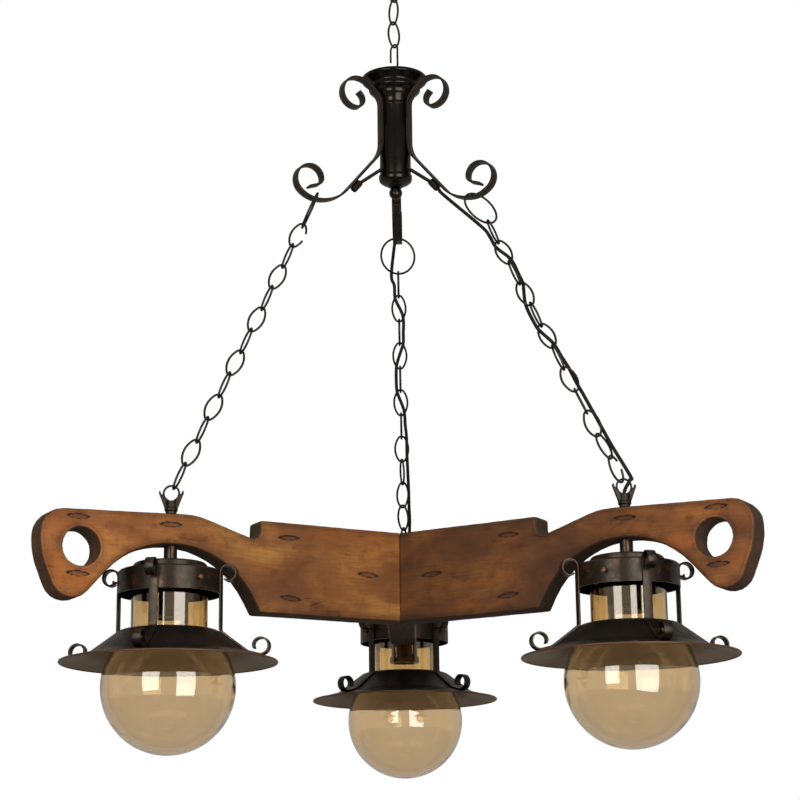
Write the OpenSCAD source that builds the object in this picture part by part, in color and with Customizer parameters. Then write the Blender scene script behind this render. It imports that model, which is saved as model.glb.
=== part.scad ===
// Three-light yoke chandelier: three wooden boards mitred at 120 degrees, hung by
// three chains from an iron hub, with a lantern of amber glass under each board.
// Origin at the centre of the ceiling plate's back face, +Z up, millimetres.
// Seen from the front (-Y) the arms point left, right and to the rear.

/* [Ceiling plate] */
// Diameter of the plate that is screwed to the ceiling
plate_d = 80; // [66:1:140]
// Thickness of the plate
plate_t = 4; // [2.5:0.5:8]
// Circle that the screw holes lie on
plate_pcd = 56; // [48:1:62]
// Diameter of the screw holes
plate_hole_d = 5; // [3.5:0.5:6.5]
// Number of screw holes
plate_holes = 3; // [3:1:6]
// Height of the boss under the plate
boss_h = 5; // [4:0.5:12]
// Diameter of the boss
boss_d = 22; // [18:0.5:30]
// Middle diameter of the fixed eye
top_eye_d = 18; // [16:0.5:26]
// Wire of the fixed eye
top_eye_wire = 3.6; // [3:0.1:4.5]

/* [Chain] */
// Outside length of an oval link
link_l = 38.3; // [32:0.1:46]
// Outside width of an oval link
link_w = 21; // [18:0.1:25]
// Wire of links, rings and hook
wire = 2.8; // [2.2:0.1:3.4]
// Inside diameter of the ring that hangs on a scroll
ring_in_d = 45; // [36:0.5:54]
// Oval links between that ring and an eye
chain_links = 12; // [9:1:14]
// Air between two links where they bear on each other
link_gap = 0.3; // [0.2:0.05:0.6]
// Turn of the top links about the vertical
top_turn = -50; // [-70:5:-20]

/* [Hub] */
// From the rim of the bell up to the bow of the hook
hook_h = 47.8; // [38:0.2:70]
// Distance between the hook's two legs, middle to middle
hook_w = 14; // [12:0.5:20]
// Length of the hook's short leg
hook_tail = 16; // [8:0.5:24]
// Diameter of the bell's rim
rim_d = 85; // [80:0.5:96]
// Height of the bell from its rim to the tube
bell_h = 42; // [38:0.5:50]
// Thickness of the bell's top
bell_t = 3; // [2:0.5:5]
// Diameter of the tube
tube_d = 40; // [36:0.5:44]
// Wall of the tube
tube_wall = 1.6; // [1.2:0.1:3]
// Length of the tube
tube_l = 93; // [84:0.5:120]
// Diameter of the cup under the tube
cup_d = 42.8; // [41:0.2:50]
// Height of the cup
cup_h = 16; // [13:0.5:22]
// Diameter of the ball under the cup
ball_d = 16.8; // [14:0.2:22]
// Diameter of the tie rod in the hub
rod_d = 6; // [5:0.5:8]

/* [Scroll straps] */
// Width of the flat bar
strap_w = 12.5; // [9:0.5:14]
// Thickness of the flat bar
strap_t = 2.8; // [2:0.1:3.4]
// Length of bar that lies against the tube
strap_flat = 50; // [44:1:60]
// Bend where the bar leaves the tube
strap_bend_r = 40; // [32:1:50]
// Straight run of the bar down to the lower scroll
strap_run = 64.6; // [56:0.2:76]
// Slope of that run below the horizontal
strap_slope = 49.8; // [45:0.2:54]
// Sweep from that run to the lowest point
strap_sweep_r = 53.6; // [46:0.2:62]
// Widest curve of the lower scroll
low_scroll_r = 20.5; // [18:0.5:24]
// Widest curve of the upper scroll
top_scroll_r = 22; // [18:0.5:24]

/* [Wiring] */
// Diameter of a cord
cord_d = 4.5; // [3.5:0.1:5]
// Diameter of a cord gland
gland_d = 9.5; // [8.5:0.1:12]
// Length of a cord gland
gland_l = 14.5; // [12:0.5:18]
// Diameter of the conduit from the hub to a gland
conduit_d = 4.6; // [3.6:0.1:6]

/* [Yoke] */
// Thickness of the boards
board_t = 35; // [28:0.5:42]
// Height of the boards at the centre
board_h = 110.5; // [104:0.5:125]
// Radius on which chains, stems and lanterns stand
lamp_r = 304; // [298:1:312]
// Radius of the arch over a lantern
arch_r = 113; // [108:0.5:118]
// Height of the arch above the underside of the centre
arch_h = 73; // [62:0.5:78]
// Radius at which the top steps down
step_r = 197.5; // [180:0.5:204]
// Depth of the step
step_depth = 22; // [12:0.5:28]
// Fillet at the foot of the step
step_fillet = 9; // [6:0.5:14]
// Round-over along the edges of a board
edge_r = 3.5; // [2:0.5:3.5]
// Height of an arm's top edge at its outer end
end_h = 105; // [98:0.5:109]
// Corner radius at the upper outer end
end_r = 29; // [20:0.5:36]
// Radius of the long curve down the outer end
nose_r = 84; // [66:1:100]
// Radius of the toe under the outer end
toe_r = 26; // [18:0.5:30]
// Wood between the arch and the round of the toe
toe_gap = 3.5; // [2.5:0.1:10]
// Outer end of an arm measured out from the toe's middle
toe_out = 39; // [34:0.5:54]
// Diameter of the hole near the outer end
hole_d = 43; // [30:0.5:50]
// Hole's middle measured in from the outer end
hole_in = 49; // [44:0.5:58]
// Height of the hole's middle
hole_h = 62; // [54:0.5:68]
// Diameter of the dowels in the centre joint
dowel_d = 8; // [6:0.5:10]
// Length of the dowels
dowel_l = 28; // [22:0.5:30]

/* [Stem] */
// Threaded tube that carries a lantern
stem_d = 10; // [9:0.5:11]
// Bore of the threaded tube
stem_bore = 6.4; // [5.6:0.1:7]
// Diameter of the sleeve between board and lantern
sleeve_d = 15.5; // [14:0.5:20]
// Length of that sleeve
sleeve_l = 20; // [16:0.5:40]
// Middle diameter of the ring of an eye
eye_d = 18.1; // [16:0.1:22]
// Wire of the ring of an eye
eye_wire = 2.7; // [2.2:0.1:3.2]
// Height of the ring's middle above the board
eye_h = 25; // [23:0.5:32]

/* [Lantern] */
// Diameter of the gallery ring
gallery_d = 120; // [112:0.5:126]
// Height of the gallery ring
gallery_h = 27.5; // [24:0.5:34]
// Diameter of the raised lid on the ring
lid_d = 85; // [70:0.5:96]
// Height of the raised lid
lid_h = 9; // [6:0.5:14]
// Sheet of lid and ring
sheet = 1.5; // [1:0.1:2]
// Lid's top down to the edge of the shade's hole
shade_drop = 77.5; // [74:0.5:88]
// Diameter of the shade's brim
shade_d = 250; // [236:1:270]
// Diameter of the hole in the shade
shade_hole = 92; // [91:0.5:96]
// Sheet of the shade
shade_t = 1.2; // [0.8:0.1:1.6]
// Roll along the edge of the brim
brim_roll = 2.6; // [2:0.1:4]
// Width of a cage strap
cage_w = 10.5; // [8:0.5:13]
// Thickness of a cage strap
cage_t = 2.2; // [1.6:0.1:2.6]
// Middle radius of the curls of a cage strap
curl_r = 9.3; // [7:0.1:10]

/* [Glass and lampholder] */
// Diameter of the globe
globe_d = 154; // [146:0.5:158]
// Diameter of the globe's neck
neck_d = 88; // [84:0.5:89]
// Wall of the glass
glass_t = 2.5; // [2:0.1:3.5]
// Lid's top down to the middle of the globe
globe_drop = 141.5; // [140:0.5:150]
// Lid's top down to the rim of the neck
neck_drop = 19; // [16:0.5:24]
// Diameter of the lampholder
socket_d = 36; // [33:0.5:44]
// Length of the lampholder
socket_l = 52; // [46:0.5:56]
// Diameter of the lamp's screw shell
socket_bore = 27; // [26.5:0.1:27.5]
// Depth of the screw shell
socket_depth = 26; // [24:0.5:30]
// Diameter of a gallery screw
screw_d = 3; // [2.5:0.1:4]
// Air between a gallery screw and the glass
screw_gap = 0.3; // [0.2:0.05:0.6]

/* [Hidden] */
$fn = 48;
fit = 0.1;
weld = 0.1;
seam = 0.03;
iron = [0.14, 0.13, 0.12];
bronze = [0.24, 0.19, 0.15];
walnut = [0.56, 0.35, 0.18];
amber = [0.76, 0.60, 0.36, 0.45];
sides = ["left", "right", "rear"];
azimuth = [210, 330, 90];

// Hanging heights, worked out from the ceiling down
link_half = (link_l - wire) / 2;
pitch = 2 * link_half - wire - link_gap;
top_eye_z = -(plate_t + boss_h + top_eye_d / 2 - 0.8);
top_pin_z = top_eye_z - top_eye_d / 2;
link_c_z = top_pin_z + (top_eye_wire + wire) / 2 + link_gap - link_half;
link_b_z = link_c_z - pitch;
link_a_z = link_b_z - pitch;
bow_z = link_a_z - link_half + wire + link_gap;
rim_z = bow_z - hook_h;
tube_top_z = rim_z - bell_h;
cup_top_z = tube_top_z - tube_l;
cup_low_z = cup_top_z - cup_h;

// Scroll strap, as lengths and turns along the bar from the middle of its flat
strap_r = tube_d / 2 + strap_t / 2;
strap_mid_z = tube_top_z - strap_flat / 2;
strap_start = [strap_r, strap_mid_z];
lower_bends = [
    [strap_flat / 2, 0],
    arc(strap_bend_r, 90 - strap_slope),
    [strap_run, 0],
    arc(strap_sweep_r, strap_slope),
    arc(36, 40),
    arc(low_scroll_r - 0.5, 50),
    arc(low_scroll_r, 90),
    arc(low_scroll_r - 4.5, 90),
    arc(9, 70),
    [13, 0]
];
upper_bends = [
    [strap_flat / 2, 0],
    arc(24, -47),
    [10, 0],
    arc(28, -43),
    arc(top_scroll_r, -90),
    arc(top_scroll_r - 3, -90),
    arc(11, -90),
    arc(11, -45),
    [5, 0]
];
strap_low = last(bar_path([for (i = [0:3]) lower_bends[i]], strap_start, -90));
run_start = last(bar_path([for (i = [0:1]) lower_bends[i]], strap_start, -90));

// Chain from the strap's lowest point to the eye on the arm; an eye's ring may
// face any way, so the last link's bearing on it is worked out for each
ring_r = (ring_in_d + wire) / 2;
strap_sag = ring_in_d / 2 - sqrt(pow(ring_in_d / 2, 2) - pow(strap_w / 2 + 2.5, 2));
hang_r = strap_low[0];
hang_z = strap_low[1] + strap_t / 2 + strap_sag + wire / 2 + link_gap;
ring_l = 2 * ring_r - wire - link_gap;
chain_l = ring_l + 2 * link_half + (chain_links - 1) * pitch;
eye_seat = (eye_wire + wire) / 2 + link_gap;
pull = asin((lamp_r - hang_r) / (chain_l + 6));
eye_face = [-30, 45, -102.5];
bearing = [for (f = eye_face) let (b = atan2(-sin(pull) * cos(f), cos(pull)))
    eye_d / 2 * [sin(b) * cos(f), sin(b) * sin(f), cos(b)] + eye_seat * [sin(pull), 0, -cos(pull)]];
bearing_mean = (bearing[0] + bearing[1] + bearing[2]) / 3;
eye_z = hang_z - bearing_mean[2] - sqrt(pow(chain_l, 2) - pow(lamp_r + bearing_mean[0] - hang_r, 2));
board_top_z = eye_z - eye_h;
chain_run = [for (q = bearing) q + [lamp_r - hang_r, 0, eye_z - hang_z]];
chain_tilt = [for (d = chain_run) acos(-d[2] / norm(d))];
chain_turn = [for (d = chain_run) atan2(d[1], d[0])];
chain_pitch = [for (d = chain_run) (norm(d) - ring_l - 2 * link_half) / (chain_links - 1)];
chain_face = [147.5, 32.5, -90];
ring_face = 70;
even_links = [for (k = [0:chain_links - 1]) k % 2 == 0 ? 0 : 90];
odd_links = [for (k = [0:chain_links - 1]) drifted(k)];
link_faces = [even_links, odd_links, -odd_links];
open_link = [0, chain_links - 1, -1];

// Heights in the boards, and the reach of an arm from the centre to its end
toe_h = 3 + toe_r;
toe_at = lamp_r + sqrt(pow(arch_r + toe_r + toe_gap, 2) - pow(toe_h - arch_h + arch_r, 2));
arm_reach = toe_at + toe_out;
crown_h = board_h - 0.5;
crown_r = 90;
crown_at = lamp_r - 14;
corner_r = 4;
underside_z = board_top_z - board_h;
sleeve_sag = arch_r * (1 - cos(3.5)) + arch_r - sqrt(pow(arch_r, 2) - pow(sleeve_d / 2, 2));
lid_z = underside_z + arch_h - sleeve_sag - sleeve_l;
ring_top_z = -lid_h;
ring_low_z = ring_top_z - gallery_h;
dowel_at = 0.62 * board_t / 2 / sin(60);

// Shade profile, through the middle of the sheet
slope_a = 37;
flare_a = 15;
shade_in = [shade_hole / 2, -shade_drop];
shoulder = shade_in + 10.5 * [cos(5), -sin(5)];
knee = shoulder + 45 * [cos(slope_a), -sin(slope_a)];
brim_r = shade_d / 2 - brim_roll / 2;
brim = [brim_r, knee[1] - (brim_r - knee[0]) * tan(flare_a)];

// Cage strap, seated on the gallery ring and on the shade
cage_r = gallery_d / 2 + cage_t / 2;
cage_top_z = ring_top_z - 0.18 * gallery_h;
curl_in = 0.27 * curl_r;
lift = (shade_t + cage_t) / 2;
slope_ref = shoulder + lift * [sin(slope_a), cos(slope_a)];
cage_foot = [cage_r, slope_ref[1] - (cage_r - slope_ref[0]) * tan(slope_a)];
half_a = (slope_a + flare_a) / 2;
cage_knee = knee + lift / cos((slope_a - flare_a) / 2) * [sin(half_a), cos(half_a)];
foot_bend = 1.8 * cage_t;
knee_bend = 11 * cage_t;
cage_turn = [5, 0, 0];
foot_cut = foot_bend * tan((90 - slope_a) / 2);
knee_cut = knee_bend * tan((slope_a - flare_a) / 2);
cage_run = norm(cage_knee - cage_foot) - foot_cut - knee_cut;
brim_run = 1.5 * curl_r - knee_cut;

// Globe, through the middle of the glass
bulb_r = globe_d / 2 - glass_t / 2;
neck_r = neck_d / 2 - glass_t / 2;
shoulder_r = 6;
shoulder_h = sqrt(pow(bulb_r + shoulder_r, 2) - pow(neck_r + shoulder_r, 2));
shoulder_a = atan2(shoulder_h, neck_r + shoulder_r);
neck_l = globe_drop - shoulder_h - neck_drop;
screw_z = (ring_top_z - neck_drop) / 2 - 9;
screw_turn = [-20, 30, 0];
screw_out = 3.5;

// Cord routes: straight on from the gland, then beside the chain as distance
// down it, to its right and behind it, then past the ring of the eye as distance
// along its plane, square to it and up, into the stem
gland_dir = [cos(strap_slope), -sin(strap_slope)];
gland_at = [run_start[0], run_start[1]] + 48 * gland_dir
    - (gland_d + strap_t) / 2 * [sin(strap_slope), cos(strap_slope)];
conduit_at = [tube_d / 2 - 1, cup_top_z + 7];
conduit_run = gland_at - (gland_l / 2 - 3) * gland_dir - conduit_at;
conduit_a = 90 - atan2(conduit_run[1], conduit_run[0]);
cord_lead = [-2, 3, 8, 20];
cord_beside = [
    [46, -9, 5], [62, -5.5, 5], [78, -5, 5], [86, -2.5, 5.5], [100, 4, 5.5], [112, 6, 5],
    [126, 5.5, 4.5], [142, 5, 5], [151, 2, 5.5], [166, -3, 5.5], [176, -5, 5], [190, -5.5, 5],
    [206, -5, 5], [215, -2.5, 5.5], [230, 3, 5.5], [241, 5, 5], [254, 5.5, 5], [272, 7, 5],
    [292, 7, 5], [312, 7.5, 4], [332, 8, 3.5], [352, 8.5, 3], [372, 8.5, 2], [392, 9, 1]
];
cord_side = [0, 1, -1];
cord_drop = [[7.5, 3, 12], [6.2, 4.4, 8], [4.2, 4.4, 4], [2, 3, 0], [0.5, 1.2, -4], [0, 0, -8], [0, 0, -18]];

// A bend of given radius and turn, as length along the bar and turn
function arc(r, turn) = [r * abs(turn) * PI / 180, turn];

function last(list) = list[len(list) - 1];

// Where a bar gets to from p with heading h over one bend
function bend_end(p, h, run, turn) = turn == 0 ? p + run * [cos(h), sin(h)]
    : let (r = run / (turn * PI / 180)) p + r * [sin(h + turn) - sin(h), cos(h) - cos(h + turn)];

// Middle line of a bar as [x, y, heading], one point for every 12 degrees or so
function bar_path(bends, p, h, i = 0) = i == len(bends) ? [[p[0], p[1], h]]
    : let (run = bends[i][0], turn = bends[i][1], n = max(1, ceil(abs(turn) / 12)))
        concat([for (k = [0:n - 1]) let (q = bend_end(p, h, run * k / n, turn * k / n))
            [q[0], q[1], h + turn * k / n]],
            bar_path(bends, bend_end(p, h, run, turn), h + turn, i + 1));

// The same line walked the other way
function flipped(path) = [for (i = [len(path) - 1:-1:0]) [path[i][0], path[i][1], path[i][2] + 180]];

// Outline of a bar of thickness t round its middle line
function bar_outline(path, t) = concat(
    [for (s = path) [s[0], s[1]] + t / 2 * [-sin(s[2]), cos(s[2])]],
    [for (i = [len(path) - 1:-1:0]) [path[i][0], path[i][1]] - t / 2 * [-sin(path[i][2]), cos(path[i][2])]]);

// Direction square to the line that runs from disc a to disc b of a belt
function belt_angle(a, b) = let (d = [b[0] - a[0], b[1] - a[1]])
    atan2(d[1], d[0]) - acos((a[2] - b[2]) / norm(d));

function turned(a) = a - 360 * floor(a / 360);

// Outline of a belt round discs [x, y, radius] but the first and last, which only
// give it its direction; a negative radius is a hollow
function belt(discs, inset) = let (n = len(discs)) [for (i = [1:n - 2])
    let (a0 = belt_angle(discs[i - 1], discs[i]),
        a1 = belt_angle(discs[i], discs[i + 1]),
        r = discs[i][2],
        sweep = r > 0 ? turned(a1 - a0) : -turned(a0 - a1),
        steps = max(1, ceil(abs(sweep) / (abs(r) > 50 ? 7 : 18))))
    for (k = [0:steps]) let (a = a0 + sweep * k / steps)
        [discs[i][0] + (r - inset) * cos(a), discs[i][1] + (r - inset) * sin(a)]];

// Turn of a link on the chains that twist towards their lower end
function drifted(k) = (k % 2 == 0 ? 90 : 0) - 16.5 * max(0, k - chain_links + 5);

// Points between hand-set points of a route
function spline(p, n) = concat([for (i = [0:len(p) - 2]) for (k = [0:n - 1])
    let (a = p[max(0, i - 1)], b = p[i], c = p[i + 1], d = p[min(len(p) - 1, i + 2)], t = k / n)
    0.5 * (2 * b + (c - a) * t + (2 * a - 5 * b + 4 * c - d) * t * t
        + (3 * b - a - 3 * c + d) * t * t * t)], [last(p)]);

function unit(v) = v / norm(v);

// A place beside a chain, in the frame of its arm
function by_chain(q, i) = let (f = chain_face[i], t = chain_tilt[i], h = chain_turn[i],
        x = q[1] * cos(f) - cord_side[i] * q[2] * sin(f),
        y = q[1] * sin(f) + cord_side[i] * q[2] * cos(f),
        r = x * cos(t) + q[0] * sin(t))
    [hang_r + r * cos(h) - y * sin(h), r * sin(h) + y * cos(h), hang_z + x * sin(t) - q[0] * cos(t)];

// A place beside the ring of an eye, in the frame of its arm
function by_eye(q, i) = let (f = eye_face[i], g = f - 90 * cord_side[i])
    [lamp_r + q[0] * cos(f) + q[1] * cos(g), q[0] * sin(f) + q[1] * sin(g), eye_z + q[2]];

function cord_route(i) = concat(
    [for (s = cord_lead) [gland_at[0] + (gland_l / 2 - 4 + s) * gland_dir[0], 0,
        gland_at[1] + (gland_l / 2 - 4 + s) * gland_dir[1]]],
    [for (q = cord_beside) by_chain(q, i)],
    [for (q = cord_drop) by_eye(q, i)]);

module on_arm(i) {
    rotate([0, 0, azimuth[i]])
        children();
}

module at_lantern(i) {
    on_arm(i)
        translate([lamp_r, 0, lid_z])
            children();
}

// Round wire bent to an arc in the XZ plane, from angle a over a sweep
module wire_arc(r, d, a, sweep) {
    rotate([90, 0, 0])
        rotate([0, 0, a])
            rotate_extrude(angle = sweep)
                translate([r, 0])
                    circle(d = d, $fn = 24);
}

// Oval link in the XZ plane, long axis along Z, of four tangent arcs with a weld
// where they meet; an open link has a gap of so many degrees in one side
module oval_link(gap = 0) {
    a = link_half;
    b = (link_w - wire) / 2;
    end_arc = 0.3 * a;
    k = (pow(a - end_arc, 2) - pow(b - end_arc, 2)) / (2 * (b - end_arc));
    side_arc = b + k;
    half = atan2(a - end_arc, k);
    union() {
        for (s = [0, 180])
            rotate([0, s, 0]) {
                translate([0, 0, a - end_arc])
                    wire_arc(end_arc, wire, half, 180 - 2 * half);
                translate([-k, 0, 0]) {
                    wire_arc(side_arc, wire, -half, s == 0 && gap > 0 ? half - gap : 2 * half);
                    for (e = [half, -half])
                        rotate([0, -e, 0])
                            translate([side_arc, 0, 0])
                                sphere(d = wire + weld);
                }
            }
        if (gap > 0)
            translate([-k, 0, 0])
                wire_arc(side_arc, wire, gap, half - gap);
    }
}

// Flat bar bent in the XZ plane along a path, centred on Y
module flat_bar(path, t, w) {
    rotate([90, 0, 0])
        translate([0, 0, -w / 2])
            linear_extrude(w)
                polygon(bar_outline(path, t));
}

module ceiling_plate() {
    color(iron)
        union() {
            difference() {
                union() {
                    translate([0, 0, -plate_t])
                        cylinder(d = plate_d, h = plate_t);
                    translate([0, 0, -plate_t - boss_h])
                        cylinder(d = boss_d, h = boss_h);
                }
                for (k = [0:plate_holes - 1])
                    rotate([0, 0, 360 * k / plate_holes + 90])
                        translate([plate_pcd / 2, 0, -plate_t - 1])
                            cylinder(d = plate_hole_d, h = plate_t + 2);
            }
            rotate([0, 0, top_turn])
                translate([0, 0, top_eye_z])
                    wire_arc(top_eye_d / 2, top_eye_wire, 0, 360);
        }
}

module top_link(z, turn) {
    color(iron)
        rotate([0, 0, top_turn + turn])
            translate([0, 0, z])
                oval_link();
}

module top_link_upper() {
    top_link(link_c_z, 90);
}

module top_link_middle() {
    top_link(link_b_z, 0);
}

module top_link_lower() {
    top_link(link_a_z, 90);
}

module hub_hook() {
    leg_z = rim_z - bell_t - 8;
    shoulder_z = bow_z - hook_w / 2;
    color(iron)
        rotate([0, 0, top_turn]) {
            union() {
                translate([0, 0, shoulder_z])
                    wire_arc(hook_w / 2, wire, 0, 180);
                translate([hook_w / 2, 0, leg_z])
                    cylinder(d = wire, h = shoulder_z - leg_z, $fn = 24);
                translate([-hook_w / 2, 0, shoulder_z - hook_tail])
                    cylinder(d = wire, h = hook_tail, $fn = 24);
            }
            difference() {
                translate([hook_w / 2, 0, rim_z - bell_t - 3])
                    cylinder(d = 2.4 * wire, h = 3, $fn = 6);
                translate([hook_w / 2, 0, leg_z - 1])
                    cylinder(d = wire + fit, h = 14, $fn = 24);
            }
        }
}

module hub_bell() {
    r = rim_d / 2;
    t = tube_d / 2;
    color(iron)
        translate([0, 0, rim_z])
            difference() {
                rotate_extrude()
                    polygon([
                        [0, 0], [r, 0], [r, -4], [r - 3.5, -6.5], [r - 7, -9], [r - 9, -11.5],
                        [r - 9, -17.5], [r - 11.5, -20], [r - 14.5, -22], [t + 6.6, -24],
                        [t + 6.2, -26], [t + 4.2, -28.6], [t + 2.9, -30.8], [t + 1.6, -33],
                        [t + 0.8, -34.6], [t + 0.2, -37.5], [t, -bell_h], [t - tube_wall, -bell_h],
                        [t - tube_wall, -35], [t + 4, -25], [r - 16, -12], [r - 10, -bell_t],
                        [0, -bell_t]
                    ]);
                translate([0, 0, -bell_t - 1])
                    cylinder(d = rod_d + fit, h = bell_t + 2);
                rotate([0, 0, top_turn])
                    translate([hook_w / 2, 0, -bell_t - 1])
                        cylinder(d = wire + fit, h = bell_t + 2, $fn = 24);
            }
}

module hub_tube() {
    color(iron)
        translate([0, 0, cup_top_z])
            difference() {
                cylinder(d = tube_d, h = tube_l);
                translate([0, 0, -1])
                    cylinder(d = tube_d - 2 * tube_wall, h = tube_l + 2);
                for (i = [0:2])
                    on_arm(i)
                        translate([conduit_at[0], 0, conduit_at[1] - cup_top_z])
                            rotate([0, conduit_a, 0])
                                translate([0, 0, -4])
                                    cylinder(d = conduit_d + fit, h = 14);
            }
}

module hub_cup() {
    r = cup_d / 2;
    n = ball_d / 2;
    color(iron)
        translate([0, 0, cup_top_z])
            difference() {
                rotate_extrude()
                    polygon([
                        [0, 0], [r, 0], [r, -5], [r - 1, -8], [r - 5, -11], [n + 2.5, -13],
                        [n, -cup_h], [0, -cup_h]
                    ]);
                translate([0, 0, -cup_h - 1])
                    cylinder(d = rod_d + fit, h = cup_h + 2);
            }
}

module hub_ball() {
    color(iron)
        translate([0, 0, cup_low_z - ball_d * 0.44])
            difference() {
                intersection() {
                    sphere(d = ball_d);
                    translate([0, 0, -ball_d / 2 - 1])
                        cylinder(d = ball_d + 2, h = ball_d * 0.94 + 1);
                }
                cylinder(d = rod_d + fit, h = ball_d);
            }
}

module hub_rod() {
    low = cup_low_z - ball_d * 0.44;
    color(bronze) {
        translate([0, 0, low + 0.2])
            cylinder(d = rod_d, h = rim_z + 8 - low);
        translate([0, 0, rim_z])
            difference() {
                cylinder(d = 1.8 * rod_d, h = 5, $fn = 6);
                translate([0, 0, -1])
                    cylinder(d = rod_d + fit, h = 7);
            }
    }
}

module scroll(i) {
    path = concat(flipped(bar_path(upper_bends, strap_start, 90)),
        bar_path(lower_bends, strap_start, -90));
    color(iron)
        on_arm(i)
            flat_bar(path, strap_t, strap_w);
}

module on_conduit(i) {
    on_arm(i)
        translate([conduit_at[0], 0, conduit_at[1]])
            rotate([0, conduit_a, 0])
                children();
}

module conduit(i) {
    l = norm(conduit_run);
    color(iron)
        on_conduit(i)
            difference() {
                cylinder(d = conduit_d, h = l);
                translate([0, 0, -1])
                    cylinder(d = conduit_d - 1.6, h = l + 2);
            }
}

module gland(i) {
    color(iron)
        difference() {
            on_arm(i)
                translate([gland_at[0], 0, gland_at[1]])
                    rotate([0, 90 + strap_slope, 0])
                        difference() {
                            translate([0, 0, -gland_l / 2])
                                cylinder(d = gland_d, h = gland_l);
                            translate([0, 0, gland_l / 2 - 8])
                                cylinder(d = cord_d + 2 * fit, h = 9);
                        }
            on_conduit(i)
                cylinder(d = conduit_d + fit, h = norm(conduit_run) + 0.2);
        }
}

module chain(i) {
    color(iron)
        on_arm(i)
            translate([hang_r, 0, hang_z])
                rotate([0, -chain_tilt[i], chain_turn[i]]) {
                    rotate([0, 0, ring_face])
                        translate([0, 0, -ring_r])
                            wire_arc(ring_r, wire, 0, 360);
                    for (k = [0:chain_links - 1])
                        rotate([0, 0, chain_face[i] + link_faces[i][k]])
                            translate([0, 0, -ring_l - link_half - k * chain_pitch[i]])
                                oval_link(k == open_link[i] ? 12 : 0);
                }
}

module cord(i) {
    route = spline(cord_route(i), 2);
    n = len(route);
    sides_n = 8;
    rings = [for (j = [0:n - 1])
        let (t = unit(route[min(j + 1, n - 1)] - route[max(j - 1, 0)]),
            u = unit(cross([0, 1, 0], t)), v = cross(t, u))
        for (k = [0:sides_n - 1]) let (a = 360 * k / sides_n)
            route[j] + cord_d / 2 * (cos(a) * u + sin(a) * v)];
    walls = [for (j = [0:n - 2]) for (k = [0:sides_n - 1])
        let (a = j * sides_n + k, b = j * sides_n + (k + 1) % sides_n)
        each [[a, a + sides_n, b], [b, a + sides_n, b + sides_n]]];
    caps = [[for (k = [0:sides_n - 1]) k],
        [for (k = [sides_n - 1:-1:0]) (n - 1) * sides_n + k]];
    color([0.08, 0.08, 0.08])
        on_arm(i)
            polyhedron(rings, concat(walls, caps));
}

module eye(i) {
    prong = [[4, 8], [8, 8], [14.8, eye_h + 1], [13.4, eye_h + 4], [11.4, eye_h - 1], [4, eye_h - 8]];
    color(iron)
        on_arm(i)
            translate([lamp_r, 0, board_top_z])
                rotate([0, 0, eye_face[i]])
                    difference() {
                        union() {
                            cylinder(d = 13, h = 4);
                            translate([0, 0, 4])
                                cylinder(d = 15.6, h = 3.2);
                            translate([0, 0, 7.2])
                                cylinder(d = 12, h = eye_h - eye_d / 2 - 7.2);
                            translate([0, 0, eye_h])
                                wire_arc(eye_d / 2, eye_wire, 0, 360);
                            for (s = [0, 180])
                                rotate([0, 0, s])
                                    rotate([90, 0, 0])
                                        translate([0, 0, -2])
                                            linear_extrude(4)
                                                polygon(prong);
                        }
                        translate([0, 0, -1])
                            cylinder(d = stem_d + fit, h = 7);
                        cylinder(d = cord_d + 2 * fit + 0.4, h = eye_h);
                    }
}

module stem(i) {
    low = lid_z - sheet - 12;
    color(bronze)
        on_arm(i)
            translate([lamp_r, 0, low])
                difference() {
                    cylinder(d = stem_d, h = board_top_z + 5.5 - low);
                    translate([0, 0, -1])
                        cylinder(d = stem_bore, h = board_top_z + 8 - low);
                }
}

module stem_sleeves() {
    color(iron)
        for (i = [0:2])
            at_lantern(i)
                difference() {
                    cylinder(d = sleeve_d, h = sleeve_l);
                    translate([0, 0, -1])
                        cylinder(d = stem_d + fit, h = sleeve_l + 2);
                }
}

module stem_nuts() {
    color(bronze)
        for (i = [0:2])
            at_lantern(i)
                translate([0, 0, -sheet - 4])
                    difference() {
                        cylinder(d = stem_d + 9, h = 4, $fn = 6);
                        translate([0, 0, -1])
                            cylinder(d = stem_d + fit, h = 6);
                    }
}

// Discs that a board's outline runs round, from the centre's underside outwards
function board_discs() = let (out = arm_reach, hollow = [lamp_r, arch_h - arch_r, -arch_r]) [
    [-30, 12, 12],
    [lamp_r - sqrt(pow(arch_r + corner_r + 1, 2) - pow(corner_r - hollow[1], 2)), corner_r, corner_r],
    hollow,
    [toe_at, toe_h, toe_r],
    [out - nose_r, end_h - end_r - 4, nose_r],
    [out - end_r, end_h - end_r, end_r],
    [crown_at, crown_h - crown_r, crown_r],
    [step_r + step_fillet, board_h - step_depth + step_fillet, -step_fillet],
    [step_r - corner_r, board_h - corner_r, corner_r],
    [-30, board_h - 12, 12]
];

// The outline drawn in by inset, cut off at the mitre for a slice y off the middle
function board_outline(inset, y) = let (mitre = seam + abs(y) / tan(60))
    concat([[mitre, inset]], belt(board_discs(), inset), [[mitre, board_h - inset]]);

// Triangles between the lower and the upper chain of an outline, from its left end
// on to its outermost point m, by the shorter way across each time
function zipped(p, i, j, m) = i == m && j == m ? []
    : i < m && (j == m || norm(p[i + 1] - p[j]) <= norm(p[i] - p[j - 1]))
        ? concat([[i, i + 1, j]], zipped(p, i + 1, j, m))
    : concat([[i, j - 1, j]], zipped(p, i, j - 1, m));

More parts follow.
